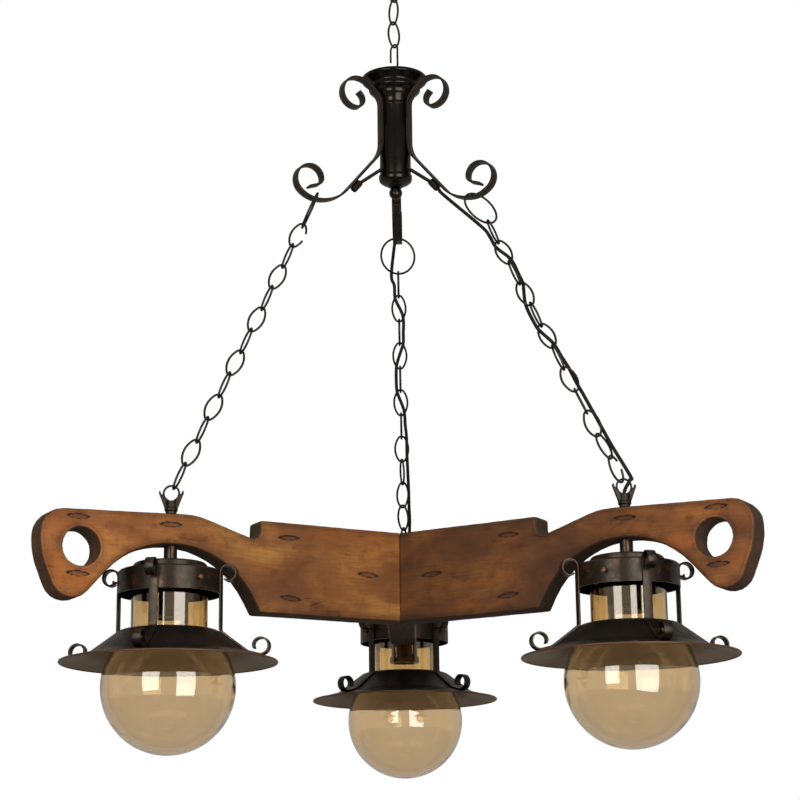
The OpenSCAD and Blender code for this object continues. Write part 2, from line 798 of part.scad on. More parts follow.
// Mitred board with rounded edges, in the XZ plane, of outlines from face to face
module rounded_board() {
    half_t = board_t / 2;
    slices = concat(
        [for (a = [0, 45, 90]) [edge_r * (1 - cos(a)) - half_t, edge_r * (1 - sin(a))]],
        [[0, 0]],
        [for (a = [90, 45, 0]) [half_t - edge_r * (1 - cos(a)), edge_r * (1 - sin(a))]]);
    outlines = [for (s = slices) board_outline(s[1], s[0])];
    n = len(outlines[0]);
    m = len(slices);
    points = [for (j = [0:m - 1]) for (p = outlines[j]) [p[0], slices[j][0], p[1]]];
    walls = [for (j = [0:m - 2]) for (k = [0:n - 1])
        let (a = j * n + k, b = j * n + (k + 1) % n)
        each [[a, b, b + n], [a, b + n, a + n]]];
    reach = max([for (p = outlines[0]) p[0]]);
    tip = [for (k = [0:n - 1]) if (outlines[0][k][0] > reach - 0.001) k][0];
    face = [for (t = zipped(outlines[0], 0, n - 1, tip)) if (t[0] != t[1] && t[1] != t[2]) t];
    caps = concat([for (t = face) [t[2], t[1], t[0]]], [for (t = face) t + (m - 1) * n * [1, 1, 1]]);
    polyhedron(points, concat(walls, caps));
}

module dowels(d, l) {
    for (k = [0:2])
        for (j = [0, 1])
            rotate([0, 0, 30 + 120 * k])
                translate([dowel_at, 0, board_h * (0.16 + 0.42 * j) + k * (dowel_d + 3)])
                    rotate([90, 0, 0])
                        cylinder(d = d, h = l, center = true);
}

module arm(i) {
    color(walnut)
        on_arm(i)
            translate([0, 0, underside_z])
                difference() {
                    rounded_board();
                    translate([arm_reach - hole_in, 0, hole_h])
                        rotate([90, 0, 0])
                            cylinder(d = hole_d, h = board_t + 2, center = true);
                    translate([lamp_r, 0, -1])
                        cylinder(d = stem_d + fit, h = board_h + 2);
                    rotate([0, 0, -azimuth[i]])
                        dowels(dowel_d + fit, dowel_l + 2);
                }
}

module yoke_dowels() {
    color([0.78, 0.62, 0.40])
        translate([0, 0, underside_z])
            dowels(dowel_d, dowel_l);
}

module gallery(i) {
    r = gallery_d / 2;
    l = lid_d / 2;
    color(iron)
        at_lantern(i)
            difference() {
                rotate_extrude()
                    polygon([
                        [0, 0], [l - 2, 0], [l, -2], [l, ring_top_z], [r - 2, ring_top_z],
                        [r, ring_top_z - 2], [r, ring_low_z], [r - sheet, ring_low_z],
                        [r - sheet, ring_top_z - sheet - 1.4], [r - 2.4, ring_top_z - sheet],
                        [l - sheet, ring_top_z - sheet], [l - sheet, -3], [l - 3, -sheet], [0, -sheet]
                    ]);
                translate([0, 0, -sheet - 1])
                    cylinder(d = stem_d + fit, h = sheet + 2);
                for (k = [0:2])
                    rotate([0, 0, screw_turn[i] + 120 * k])
                        translate([0, 0, screw_z])
                            rotate([0, 90, 0])
                                cylinder(d = screw_d + fit, h = gallery_d);
            }
}

module cage(i) {
    top = [cage_r, cage_top_z];
    path = concat(
        flipped(bar_path([arc(curl_r, -250), arc(curl_r - curl_in, -70)], top, 90)),
        bar_path([
            [top[1] - cage_foot[1] - foot_cut, 0],
            arc(foot_bend, 90 - slope_a),
            [cage_run, 0],
            arc(knee_bend, slope_a - flare_a),
            [brim_run, 0],
            arc(curl_r, 250),
            arc(curl_r - curl_in, 70)
        ], top, -90));
    color(iron)
        at_lantern(i)
            for (k = [0:3])
                rotate([0, 0, 45 + 90 * k + cage_turn[i]])
                    flat_bar(path, cage_t, cage_w);
}

module shade(i) {
    path = bar_path([
        [2, 0],
        arc(15.2, -(slope_a - 5)),
        [norm(knee - shoulder) - 15.2 * tan((slope_a - 5) / 2) - knee_cut, 0],
        arc(knee_bend, slope_a - flare_a),
        [norm(brim - knee) - knee_cut, 0]
    ], shoulder - (15.2 * tan((slope_a - 5) / 2) + 2) * [cos(5), -sin(5)], -5);
    color(iron)
        at_lantern(i)
            union() {
                rotate_extrude()
                    polygon(bar_outline(concat([[shade_in[0], shade_in[1], -5]], path), shade_t));
                translate([0, 0, brim[1]])
                    rotate_extrude()
                        translate([brim[0], 0])
                            circle(d = brim_roll, $fn = 24);
            }
}

module globe(i) {
    path = bar_path([
        arc(bulb_r, 90 + shoulder_a),
        arc(shoulder_r, -shoulder_a),
        [neck_l, 0]
    ], [0, -globe_drop - bulb_r], 0);
    color(amber)
        at_lantern(i)
            rotate_extrude()
                intersection() {
                    polygon(bar_outline(path, glass_t));
                    translate([0, -globe_drop - globe_d])
                        square([globe_d, 2 * globe_d]);
                }
}

module socket(i) {
    top = -sheet - 4;
    color([0.10, 0.09, 0.08])
        at_lantern(i)
            difference() {
                union() {
                    translate([0, 0, top - 6])
                        cylinder(d = 20, h = 6);
                    translate([0, 0, top - 12])
                        cylinder(d1 = socket_d, d2 = 22, h = 6);
                    translate([0, 0, top - 6 - socket_l])
                        cylinder(d = socket_d, h = socket_l - 6);
                    translate([0, 0, top - 6 - socket_l])
                        cylinder(d = socket_d + 4, h = 8);
                }
                translate([0, 0, top - 8.4])
                    cylinder(d = stem_d + fit, h = 10);
                translate([0, 0, top - 7 - socket_l])
                    cylinder(d = socket_bore, h = socket_depth + 1);
            }
}

module screw(i, k) {
    tip = neck_d / 2 + screw_gap;
    head = gallery_d / 2 + screw_out;
    color(bronze)
        at_lantern(i)
            rotate([0, 0, screw_turn[i] + 120 * k])
                translate([0, 0, screw_z])
                    rotate([0, 90, 0])
                        union() {
                            translate([0, 0, tip])
                                cylinder(d = screw_d, h = head - tip);
                            translate([0, 0, head])
                                cylinder(d = screw_d + 2.6, h = 2.4);
                        }
}

ceiling_plate();
top_link_upper();
top_link_middle();
top_link_lower();
hub_hook();
hub_bell();
hub_tube();
hub_cup();
hub_ball();
hub_rod();
scroll(0);  // scroll_left
scroll(1);  // scroll_right
scroll(2);  // scroll_rear
conduit(0);  // conduit_left
conduit(1);  // conduit_right
conduit(2);  // conduit_rear
gland(0);  // gland_left
gland(1);  // gland_right
gland(2);  // gland_rear
chain(0);  // chain_left
chain(1);  // chain_right
chain(2);  // chain_rear
cord(1);  // cord_right
cord(2);  // cord_rear
eye(0);  // eye_left
eye(1);  // eye_right
eye(2);  // eye_rear
stem(0);  // stem_left
stem(1);  // stem_right
stem(2);  // stem_rear
stem_sleeves();
stem_nuts();
arm(0);  // arm_left
arm(1);  // arm_right
arm(2);  // arm_rear
yoke_dowels();
gallery(0);  // gallery_left
gallery(1);  // gallery_right
gallery(2);  // gallery_rear
cage(0);  // cage_left
cage(1);  // cage_right
cage(2);  // cage_rear
shade(0);  // shade_left
shade(1);  // shade_right
shade(2);  // shade_rear
globe(0);  // globe_left
globe(1);  // globe_right
globe(2);  // globe_rear
socket(0);  // socket_left
socket(1);  // socket_right
socket(2);  // socket_rear
screw(0, 0);  // screw_left_1
screw(0, 1);  // screw_left_2
screw(0, 2);  // screw_left_3
screw(1, 0);  // screw_right_1
screw(1, 1);  // screw_right_2
screw(1, 2);  // screw_right_3
screw(2, 0);  // screw_rear_1
screw(2, 1);  // screw_rear_2
screw(2, 2);  // screw_rear_3
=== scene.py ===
# Three-light yoke chandelier: boards on chains under an iron scroll hub, with caged globe lanterns.
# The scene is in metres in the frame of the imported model: origin on the ceiling, Z up.
# Sizes in the dictionaries are in millimetres, as in the construction; turns are in degrees.
from math import acos, asin, atan2, ceil, cos, degrees, dist, hypot, pi, radians, sin, sqrt, tan
import bpy
import bmesh
import numpy as np
from mathutils import Matrix, Vector, noise


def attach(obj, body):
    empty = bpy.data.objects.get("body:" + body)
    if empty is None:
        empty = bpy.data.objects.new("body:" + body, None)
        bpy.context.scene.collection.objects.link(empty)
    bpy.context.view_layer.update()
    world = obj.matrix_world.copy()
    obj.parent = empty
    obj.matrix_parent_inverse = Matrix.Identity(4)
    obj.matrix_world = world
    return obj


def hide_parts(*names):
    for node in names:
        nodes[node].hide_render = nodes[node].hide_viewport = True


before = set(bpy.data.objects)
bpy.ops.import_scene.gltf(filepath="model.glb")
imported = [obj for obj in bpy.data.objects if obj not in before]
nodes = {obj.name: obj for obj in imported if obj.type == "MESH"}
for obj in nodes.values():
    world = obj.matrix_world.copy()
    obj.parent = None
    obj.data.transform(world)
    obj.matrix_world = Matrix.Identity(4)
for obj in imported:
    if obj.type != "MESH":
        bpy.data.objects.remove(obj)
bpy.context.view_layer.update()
scene = bpy.context.scene
sides = ["left", "right", "rear"]
sideAzimuth = {"left": 210, "right": 330, "rear": 90}  # from +X
mm = 0.001
weldDistance = 1e-6  # CAD corners closer than this are one point
white = (1, 1, 1, 1)


def linear(hexColour):
    parts = [int(hexColour[i:i + 2], 16) / 255 for i in (1, 3, 5)]
    return tuple(c / 12.92 if c <= 0.04045 else ((c + 0.055) / 1.055) ** 2.4 for c in parts) + (1,)


def cosd(angle):
    return cos(radians(angle))


def sind(angle):
    return sin(radians(angle))


class Graph:
    # a node tree with short ways to add what the looks and shapes here are made of
    def __init__(self, tree):
        self.tree = tree

    def feed(self, socket, value):
        if isinstance(value, bpy.types.NodeSocket):
            self.tree.links.new(value, socket)
        else:
            isColour = isinstance(value, str) and value.startswith("#")
            socket.default_value = linear(value) if isColour else value

    def node(self, kind, links=None, **settings):
        node = self.tree.nodes.new(kind)
        for key, value in settings.items():
            setattr(node, key, value)
        for key, value in (links or {}).items():
            self.feed(node.inputs[key], value)
        return node

    def shade(self, kind, links=None, **settings):
        return self.node("ShaderNode" + kind, links, **settings).outputs[0]

    def grow(self, kind, links=None, **settings):
        return self.node("GeometryNode" + kind, links, **settings).outputs[0]

    def maths(self, operation, *values, clamp=False):
        return self.shade("Math", dict(enumerate(values)), operation=operation, use_clamp=clamp)

    def times(self, first, second):
        return self.maths("MULTIPLY", first, second)

    def noise(self, vector, scale, detail, roughness=0.5, distortion=0):
        return self.shade("TexNoise", {"Vector": vector, "Scale": scale, "Detail": detail,
                                       "Roughness": roughness, "Distortion": distortion})

    def ramp(self, source, *stops, smooth=False):
        node = self.node("ShaderNodeValToRGB", {"Fac": source})
        node.color_ramp.interpolation = "EASE" if smooth else "LINEAR"
        while len(node.color_ramp.elements) < len(stops):
            node.color_ramp.elements.new(0.5)
        for element, (position, colour) in zip(node.color_ramp.elements, stops):
            element.position = position
            element.color = linear(colour) if isinstance(colour, str) else (colour, colour, colour, 1)
        return node.outputs["Color"]

    def mix(self, factor, first, second, blend="MIX"):
        inputs = {0: factor, 6: first, 7: second}
        return self.node("ShaderNodeMix", inputs, data_type="RGBA", blend_type=blend).outputs[2]

    def mapped(self, value, low, high, toLow=0, toHigh=1, smooth=False):
        ends = {"Value": value, "From Min": low, "From Max": high, "To Min": toLow, "To Max": toHigh}
        return self.shade("MapRange", ends, interpolation_type="SMOOTHSTEP" if smooth else "LINEAR")

    def scaled(self, vector, scale):
        return self.shade("Mapping", {"Vector": vector, "Scale": scale})

    def part(self, vector, axis):
        return self.node("ShaderNodeSeparateXYZ", {0: vector}).outputs[axis]

    def along(self, z, x=0, y=0):
        return self.shade("CombineXYZ", {"X": x, "Y": y, "Z": z})

    def attribute(self, name):
        return self.node("ShaderNodeAttribute", attribute_name=name).outputs["Fac"]

    def bump(self, height, strength, distance, under=None, invert=False):
        links = {"Strength": strength, "Distance": distance, "Height": height}
        if under is not None:
            links["Normal"] = under
        return self.shade("Bump", links, invert=invert)


class Look(Graph):
    # a material: its Principled shader and the object's coordinates
    def __init__(self, name):
        self.material = bpy.data.materials.new(name)
        self.material.use_nodes = True
        super().__init__(self.material.node_tree)
        self.coords = self.node("ShaderNodeTexCoord").outputs["Object"]

    def set(self, values):
        for key, value in values.items():
            self.feed(self.tree.nodes["Principled BSDF"].inputs[key], value)
        return self.material


def speckled(name, grain, colours, roughness, relief, others=None):
    # a plain finish: one noise moves its colour and its gloss, and raises its relief
    look = Look(name)
    speck = look.noise(look.coords, *grain)
    return look.set({
        "Base Color": look.ramp(speck, (0.3, colours[0]), (0.7, colours[1])),
        "Roughness": look.ramp(speck, (0.3, roughness[0]), (0.7, roughness[1])),
        "Normal": look.bump(speck, *relief), **(others or {})})


def dress(piece, *materials):
    piece.data.materials.clear()
    for material in materials:
        piece.data.materials.append(material)


def sideMatrix(side, radius=0, z=0):
    return Matrix.Rotation(radians(sideAzimuth[side]), 4, "Z") @ Matrix.Translation((radius, 0, z))


def added(name, data):
    thing = bpy.data.objects.new(name, data)
    scene.collection.objects.link(thing)
    return thing


def smoothObject(name, mesh):
    mesh.polygons.foreach_set("use_smooth", [True] * len(mesh.polygons))
    return added(name, mesh)


def meshPiece(name, vertices, faces, edges=()):
    mesh = bpy.data.meshes.new(name)
    mesh.from_pydata([tuple(v) for v in vertices], list(edges), faces)
    return smoothObject(name, mesh)


def pathPiece(name, outline, closed=False):
    points = [(x * mm, 0, z * mm) for x, z in outline]
    count = len(points)
    return meshPiece(name, points, [], [(k, (k + 1) % count) for k in range(count if closed else count - 1)])


def setAttribute(mesh, name, values, kind="FLOAT", key="value"):
    attribute = mesh.attributes.new(name, kind, "POINT")
    attribute.data.foreach_set(key, np.asarray(values, np.float32).ravel())


def stored(shape, mesh):
    shape.to_mesh(mesh)
    shape.free()
    return mesh


def joined(name, pieces, material):
    shape = bmesh.new()
    for piece in pieces:
        shape.from_mesh(piece.data)
    mesh = stored(shape, bpy.data.meshes.new(name))
    mesh.polygons.foreach_set("material_index", [0] * len(mesh.polygons))
    for piece in pieces:
        bpy.data.objects.remove(piece)
    result = smoothObject(name, mesh)
    dress(result, material)
    return result


def barPath(bends, start, heading, step=4):
    # middle line of a bent bar, as in the construction: runs and turns from a start and a heading
    def moved(x, z, run, turn, share):
        if turn == 0:
            return x + run * share * cosd(heading), z + run * share * sind(heading)
        r, a = run / radians(turn), heading + turn * share
        return x + r * (sind(a) - sind(heading)), z + r * (cosd(heading) - cosd(a))
    points = []
    x, z = start
    for run, turn in bends:
        count = max(1, ceil((abs(turn) / step) if turn else run / 4))
        points += [(*moved(x, z, run, turn, k / count), heading + turn * k / count) for k in range(count)]
        x, z = moved(x, z, run, turn, 1)
        heading += turn
    return points + [(x, z, heading)]


def bend(radius, turn):
    return (radius * abs(radians(turn)), turn)


def arc(centre, radius, angles):
    return [(centre[0] + radius * cosd(a), centre[1] + radius * sind(a)) for a in angles]


def offsetPath(path, distance):
    return [(x - distance * sind(a), z + distance * cosd(a)) for x, z, a in path]


def lathe(name, profile, segments=144):
    # closed profile of (radius, height) in millimetres, turned about the Z axis
    rings = [[] for _ in profile]
    vertices, faces = [], []
    for j, (r, z) in enumerate(profile):
        if r < weldDistance:
            rings[j] = [len(vertices)] * segments
            vertices.append((0, 0, z * mm))
        else:
            for k in range(segments):
                a = 2 * pi * k / segments
                rings[j].append(len(vertices))
                vertices.append((r * mm * cos(a), r * mm * sin(a), z * mm))
    for j in range(len(profile)):
        low, high = rings[j], rings[(j + 1) % len(profile)]
        for k in range(segments):
            face = [low[k], low[(k + 1) % segments], high[(k + 1) % segments], high[k]]
            face = [v for i, v in enumerate(face) if v != face[i - 1]]
            if len(set(face)) > 2:
                faces.append(face)
    piece = meshPiece(name, vertices, faces)
    shape = bmesh.new()
    shape.from_mesh(piece.data)
    bmesh.ops.recalc_face_normals(shape, faces=shape.faces)
    stored(shape, piece.data)
    return piece


def softened(profile, radius, steps=3):
    # the same closed profile with its corners rounded over
    points = [Vector(p) for p in profile]
    result = []
    for i, p in enumerate(points):
        a, b = points[i - 1], points[(i + 1) % len(points)]
        if p.x < weldDistance:
            result.append(tuple(p))
            continue
        toA, toB = a - p, b - p
        cut = min(radius, 0.45 * toA.length, 0.45 * toB.length)
        first, last = p + toA.normalized() * cut, p + toB.normalized() * cut
        for k in range(steps + 1):
            t = k / steps
            result.append(tuple((1 - t) ** 2 * first + 2 * t * (1 - t) * p + t * t * last))
    return result


def newTree(name, **inputs):
    # a modifier's tree: the carrier's geometry, the named inputs and a material go in
    tree = bpy.data.node_groups.new(name, "GeometryNodeTree")
    for label, kind in {"Geometry": "Geometry", **inputs, "Material": "Material"}.items():
        tree.interface.new_socket(label, in_out="INPUT", socket_type="NodeSocket" + kind)
    tree.interface.new_socket("Geometry", in_out="OUTPUT", socket_type="NodeSocketGeometry")
    return Graph(tree), tree.nodes.new("NodeGroupInput").outputs


def sweep(graph, curve, profile):
    return graph.grow("CurveToMesh", {"Curve": curve, "Profile Curve": profile, "Fill Caps": True})


def wired(graph, curve, diameter, sides):
    radius = graph.times(diameter, 0.5)
    return sweep(graph, curve, graph.grow("CurvePrimitiveCircle", {"Resolution": sides, "Radius": radius}))


def endTree(graph, geometry, material):
    realized = graph.grow("RealizeInstances", {"Geometry": geometry})
    smooth = graph.grow("SetShadeSmooth", {"Geometry": realized})
    painted = graph.grow("SetMaterial", {"Geometry": smooth, "Material": material})
    graph.node("NodeGroupOutput", {"Geometry": painted})


def takenOver(piece):
    # what the modifiers of a piece made, left as its plain mesh
    result = bpy.data.meshes.new_from_object(piece.evaluated_get(bpy.context.evaluated_depsgraph_get()))
    piece.modifiers.clear()
    piece.data = result
    return piece


def grown(carrier, graph, values):
    # runs a tree on a carrier object
    modifier = carrier.modifiers.new(graph.tree.name, "NODES")
    modifier.node_group = graph.tree
    for item in graph.tree.interface.items_tree:
        if item.in_out == "INPUT" and item.name in values:
            modifier[item.identifier] = values[item.name]
    return takenOver(carrier)


# the camera stands below the lanterns and looks up at them, as for the photograph
cameraValues = {
    "place": (0.0353, -2.441, -1.2233),
    "pitch": 14.3,  # above the horizon
    "yaw": -0.775, "roll": -0.7, "lens": 90.37, "sensor": 36, "clip": (0.05, 60),
}
cameraData = bpy.data.cameras.new("camera")
cameraData.lens = cameraValues["lens"]
cameraData.sensor_width = cameraValues["sensor"]
cameraData.clip_start, cameraData.clip_end = cameraValues["clip"]
camera = added("camera", cameraData)
camera.matrix_world = (
    Matrix.Translation(cameraValues["place"])
    @ Matrix.Rotation(radians(-cameraValues["yaw"]), 4, "Z")
    @ Matrix.Rotation(radians(90 + cameraValues["pitch"]), 4, "X")
    @ Matrix.Rotation(radians(cameraValues["roll"]), 4, "Z")
)
scene.camera = camera
print("camera placed")

studioValues = {
    "softboxes": {  # place, size and power of each; only those before the lamp show in the glass
        "softboxLeft": ((-0.80, -1.50, -0.68), (0.75, 1.17), 10.5),
        "softboxRight": ((0.70, -1.37, -0.80), (0.93, 1.45), 16),
        "softboxTop": ((0, -0.9, 1.1), (1.6, 1.2), 7),
        "softboxBackLeft": ((-1.9, 1.7, -0.2), (1.6, 1.6), 24),
        "softboxBackRight": ((1.9, 1.7, -0.2), (1.6, 1.6), 24),
    },
    "aim": (0, 0, -0.86),
    "worldLight": 0.2,
    "darkSide": 0.1,  # what gloss mirrors of the room behind the camera
    "brightSide": 0.32,  # and of the room beyond the lamp
    "turnsBright": (-0.5, 0.4),  # where the one passes into the other, along Y
    "floorZ": -2.4, "floorReach": 30, "floorGlow": 0.62,
}
for name, (place, size, power) in studioValues["softboxes"].items():
    lampData = bpy.data.lights.new(name, "AREA")
    lampData.shape = "RECTANGLE"
    lampData.size, lampData.size_y = size
    lampData.energy = power
    lamp = added(name, lampData)
    lamp.location = place
    lamp.rotation_euler = (Vector(studioValues["aim"]) - Vector(place)).to_track_quat("-Z", "Y").to_euler()
    lamp.visible_camera = False
    lamp.visible_transmission = lamp.visible_glossy = place[1] < 0
world = bpy.data.worlds.new("studio")
scene.world = world
world.use_nodes = True
sky = Graph(world.node_tree)
sky.tree.nodes.clear()
rays = sky.node("ShaderNodeLightPath").outputs
towards = sky.part(sky.node("ShaderNodeTexCoord").outputs["Generated"], "Y")
mirrored = sky.mapped(towards, *studioValues["turnsBright"],
                      studioValues["darkSide"], studioValues["brightSide"], smooth=True)
seen = sky.maths("MAXIMUM", rays["Is Camera Ray"], rays["Is Transmission Ray"])
seen = sky.maths("MAXIMUM", seen, sky.times(rays["Is Glossy Ray"], mirrored))
strength = sky.maths("MAXIMUM", seen, studioValues["worldLight"])
background = sky.shade("Background", {"Color": white, "Strength": strength})
sky.node("ShaderNodeOutputWorld", {"Surface": background})
wide, low = studioValues["floorReach"], studioValues["floorZ"]
floor = meshPiece("floor", [(-wide, -wide, low), (wide, -wide, low), (wide, wide, low), (-wide, wide, low)],
                  [(0, 1, 2, 3)])
paper = Look("palePaperFloor")
speck = paper.noise(paper.coords, 3, 3)
dress(floor, paper.set({
    "Base Color": paper.ramp(speck, (0.3, "#e6e5e2"), (0.7, "#eeedea")), "Roughness": 0.8,
    "Emission Color": white, "Emission Strength": studioValues["floorGlow"]}))
floor.visible_diffuse = floor.visible_glossy = floor.visible_transmission = False  # no horizon in the glass
scene.view_settings.view_transform = "Standard"
print("studio lit")

boardValues = {
    "thickness": 35, "height": 110.5, "lampRadius": 304, "underside": -883.436,
    "archRadius": 113, "archHeight": 73, "cornerRadius": 4,
    "innerAt": -30, "innerRadius": 12, "innerEnd": -60,
    "stepRadius": 197.5, "stepDepth": 22, "stepFillet": 9,
    "crownAt": 290, "crownRadius": 90, "crownDrop": 0.5,
    "endHeight": 105, "endRadius": 29, "noseRadius": 84, "noseDrop": 4,
    "toeRadius": 26, "toeIn": 39, "toeGap": 3.5, "toeLift": 3,
    "holeRadius": 21.5, "holeIn": 49, "holeHeight": 62,
    "voxel": 1.25,
    "wave": 0.35,  # hand-planed unevenness
    "waveNoise": (0.024, 0.06, 0.11),
    "wear": 0.6,  # rubbed off along the edges
    "wearWidth": 5,
    "gougeLength": 28, "gougeWidth": 6.4, "gougeDepth": 1.4,
    "gouges": [(54, 54.5, 3), (160, 91.5, -2), (158, 19.5, 5), (311, 95.4, -2), (423, 96, 1), (422, 31, 1)],
}
v = boardValues
rise = v["toeLift"] + v["toeRadius"] - v["archHeight"] + v["archRadius"]
over = v["archRadius"] + v["toeRadius"] + v["toeGap"]
v["reach"] = v["lampRadius"] + sqrt(over ** 2 - rise ** 2) + v["toeIn"]


def boardDiscs(v):
    # the discs that the outline runs round, as reach, height and radius; a hollow has a negative radius
    out, corner, top = v["reach"], v["cornerRadius"], v["height"]
    hollow = (v["lampRadius"], v["archHeight"] - v["archRadius"], -v["archRadius"])
    foot = v["lampRadius"] - sqrt((v["archRadius"] + corner + 1) ** 2 - (corner - hollow[1]) ** 2)
    end = v["endHeight"] - v["endRadius"]
    return [(v["innerAt"], v["innerRadius"], v["innerRadius"]), (foot, corner, corner), hollow,
            (out - v["toeIn"], v["toeLift"] + v["toeRadius"], v["toeRadius"]),
            (out - v["noseRadius"], end - v["noseDrop"], v["noseRadius"]),
            (out - v["endRadius"], end, v["endRadius"]),
            (v["crownAt"], top - v["crownDrop"] - v["crownRadius"], v["crownRadius"]),
            (v["stepRadius"] + v["stepFillet"], top - v["stepDepth"] + v["stepFillet"], -v["stepFillet"]),
            (v["stepRadius"] - corner, top - corner, corner),
            (v["innerAt"], top - v["innerRadius"], v["innerRadius"])]


def beltOutline(discs, inner, step=3):
    def square(a, b):
        d = (b[0] - a[0], b[1] - a[1])
        return degrees(atan2(d[1], d[0])) - degrees(acos((a[2] - b[2]) / hypot(*d)))
    outline = []
    for a, b, c in zip(discs, discs[1:], discs[2:]):
        start, end, r = square(a, b), square(b, c), b[2]
        sweep = (end - start) % 360 if r > 0 else -((start - end) % 360)
        count = max(1, ceil(abs(sweep) / step))
        outline += arc(b, r, [start + sweep * k / count for k in range(count + 1)])
    return [(inner, 0)] + outline + [(inner, discs[-1][1] + discs[-1][2])]


def outlineDistance(points, outline):
    best = np.full(len(points), np.inf)
    for a, b in zip(outline, outline[1:]):
        a, b = np.array(a), np.array(b)
        d = b - a
        t = np.clip(((points - a) @ d) / max(d @ d, 1e-9), 0, 1)
        best = np.minimum(best, np.linalg.norm(points - (a + t[:, None] * d), axis=1))
    return best


def welded(mesh):
    shape = bmesh.new()
    shape.from_mesh(mesh)
    bmesh.ops.remove_doubles(shape, verts=shape.verts, dist=weldDistance)
    return shape


def remeshed(node, name, voxel, rounds=2):
    # the CAD shape in an even fine mesh with eased edges
    mesh = nodes[node].data.copy()
    mesh.materials.clear()
    piece = added(name, stored(welded(mesh), mesh))
    voxels = piece.modifiers.new("voxels", "REMESH")
    voxels.mode = "VOXEL"
    voxels.voxel_size = voxel * mm
    voxels.use_smooth_shade = True
    piece.modifiers.new("ease", "SMOOTH").iterations = rounds
    return takenOver(piece)


def vertexArray(items, key):
    values = np.empty(len(items) * 3, np.float32)
    items.foreach_get(key, values)
    return values.reshape(-1, 3).astype(float)


def carveBoard(side, material):
    # a board as the joiner left it: planed by hand, edges rubbed, six gouges in each face
    v = boardValues
    piece = remeshed("arm_" + side, "board_" + side, v["voxel"])
    co = vertexArray(piece.data.vertices, "co")
    normal = vertexArray(piece.data.vertex_normals, "vector")
    turn = np.array(Matrix.Rotation(radians(-sideAzimuth[side]), 3, "Z"))
    local = co @ turn.T / mm
    local[:, 2] -= v["underside"]
    facing = normal @ turn.T
    flat = local[:, [0, 2]]
    rim = outlineDistance(flat, beltOutline(boardDiscs(v), v["innerEnd"]))
    holeAt = (v["reach"] - v["holeIn"], v["holeHeight"])
    rim = np.minimum(rim, np.abs(np.hypot(*(flat - holeAt).T) - v["holeRadius"]))
    depth = v["thickness"] / 2 - np.abs(local[:, 1])
    edge = np.clip(np.maximum(rim, depth), 0, 30)
    outer = np.clip((depth - rim) / 3 + 0.5, 0, 1)
    waves = [np.array([noise.noise(Vector(p) * pace) for p in local]) for pace in v["waveNoise"]]
    inside, small = waves[0] + 0.5 * waves[1], waves[2]
    rubbed = np.exp(-(edge / v["wearWidth"]) ** 2)
    cut = v["wave"] * (0.75 + 0.5 * inside) + v["wear"] * rubbed * (0.6 + 0.6 * small)
    # the centre joint stays tight
    cut *= np.clip((local[:, 0] - np.abs(local[:, 1]) / sqrt(3) - 1) / 4, 0, 1)
    mark = np.zeros(len(local))
    for r, h, tilt in v["gouges"]:
        across = flat - np.array([r, h])
        along = across @ np.array([cosd(tilt), sind(tilt)])
        over = across @ np.array([-sind(tilt), cosd(tilt)])
        e = np.abs(along / (v["gougeLength"] / 2)) ** 1.6 + np.abs(over / (v["gougeWidth"] / 2)) ** 1.6
        on = (depth < 3) & (np.abs(facing[:, 1]) > 0.5)
        cut += np.where(on, v["gougeDepth"] * np.clip(1 - e, 0, 1) ** 0.7, 0)
        # the gouge mark is painted shade in the recess, darker along one wall
        ring = np.exp(-((e - 0.85) / 0.27) ** 2) * (0.85 + 0.15 * np.sign(over))
        mark = np.maximum(mark, np.where(on, np.maximum(ring, 0.3 * (e < 0.9)), 0))
    co -= normal * cut[:, None] * mm
    piece.data.vertices.foreach_set("co", co.astype(np.float32).ravel())
    for name, values in (("edge", edge), ("rim", outer), ("mark", mark)):
        setAttribute(piece.data, name, values)
    piece.data.update()
    dress(piece, material)
    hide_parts("arm_" + side)
    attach(piece, "chandelier")


# solid walnut, stained by hand and waxed: soft clouded figure, dark along the edges, and in the gouges with
# painted shade
walnutValues = {
    "left": {"deep": "#5f3513", "middle": "#845122", "light": "#aa7534", "shift": 0},
    "right": {"deep": "#452712", "middle": "#663c18", "light": "#875423", "shift": 3.7},
    "rear": {"deep": "#543015", "middle": "#76461f", "light": "#96632c", "shift": 7.9},
    "warm": "#8f4b19", "stain": "#341f11", "edge": "#1f130a", "sawn": "#2e261e", "sawnPale": "#43372a",
    "gouge": "#150c06", "grainWidth": 2.2, "cloudSize": 55, "mottleSize": 18,
    "paleEndsSpan": (0.24, 0.42),  # metres from the centre over which the ends turn paler
    "paleEndsTone": (1.7, 1.62, 1.5, 1),
    "edgeWidth": 20, "gloss": (0.5, 0.68), "sawnGloss": (0.85, 0.85, 0.85, 1),
}


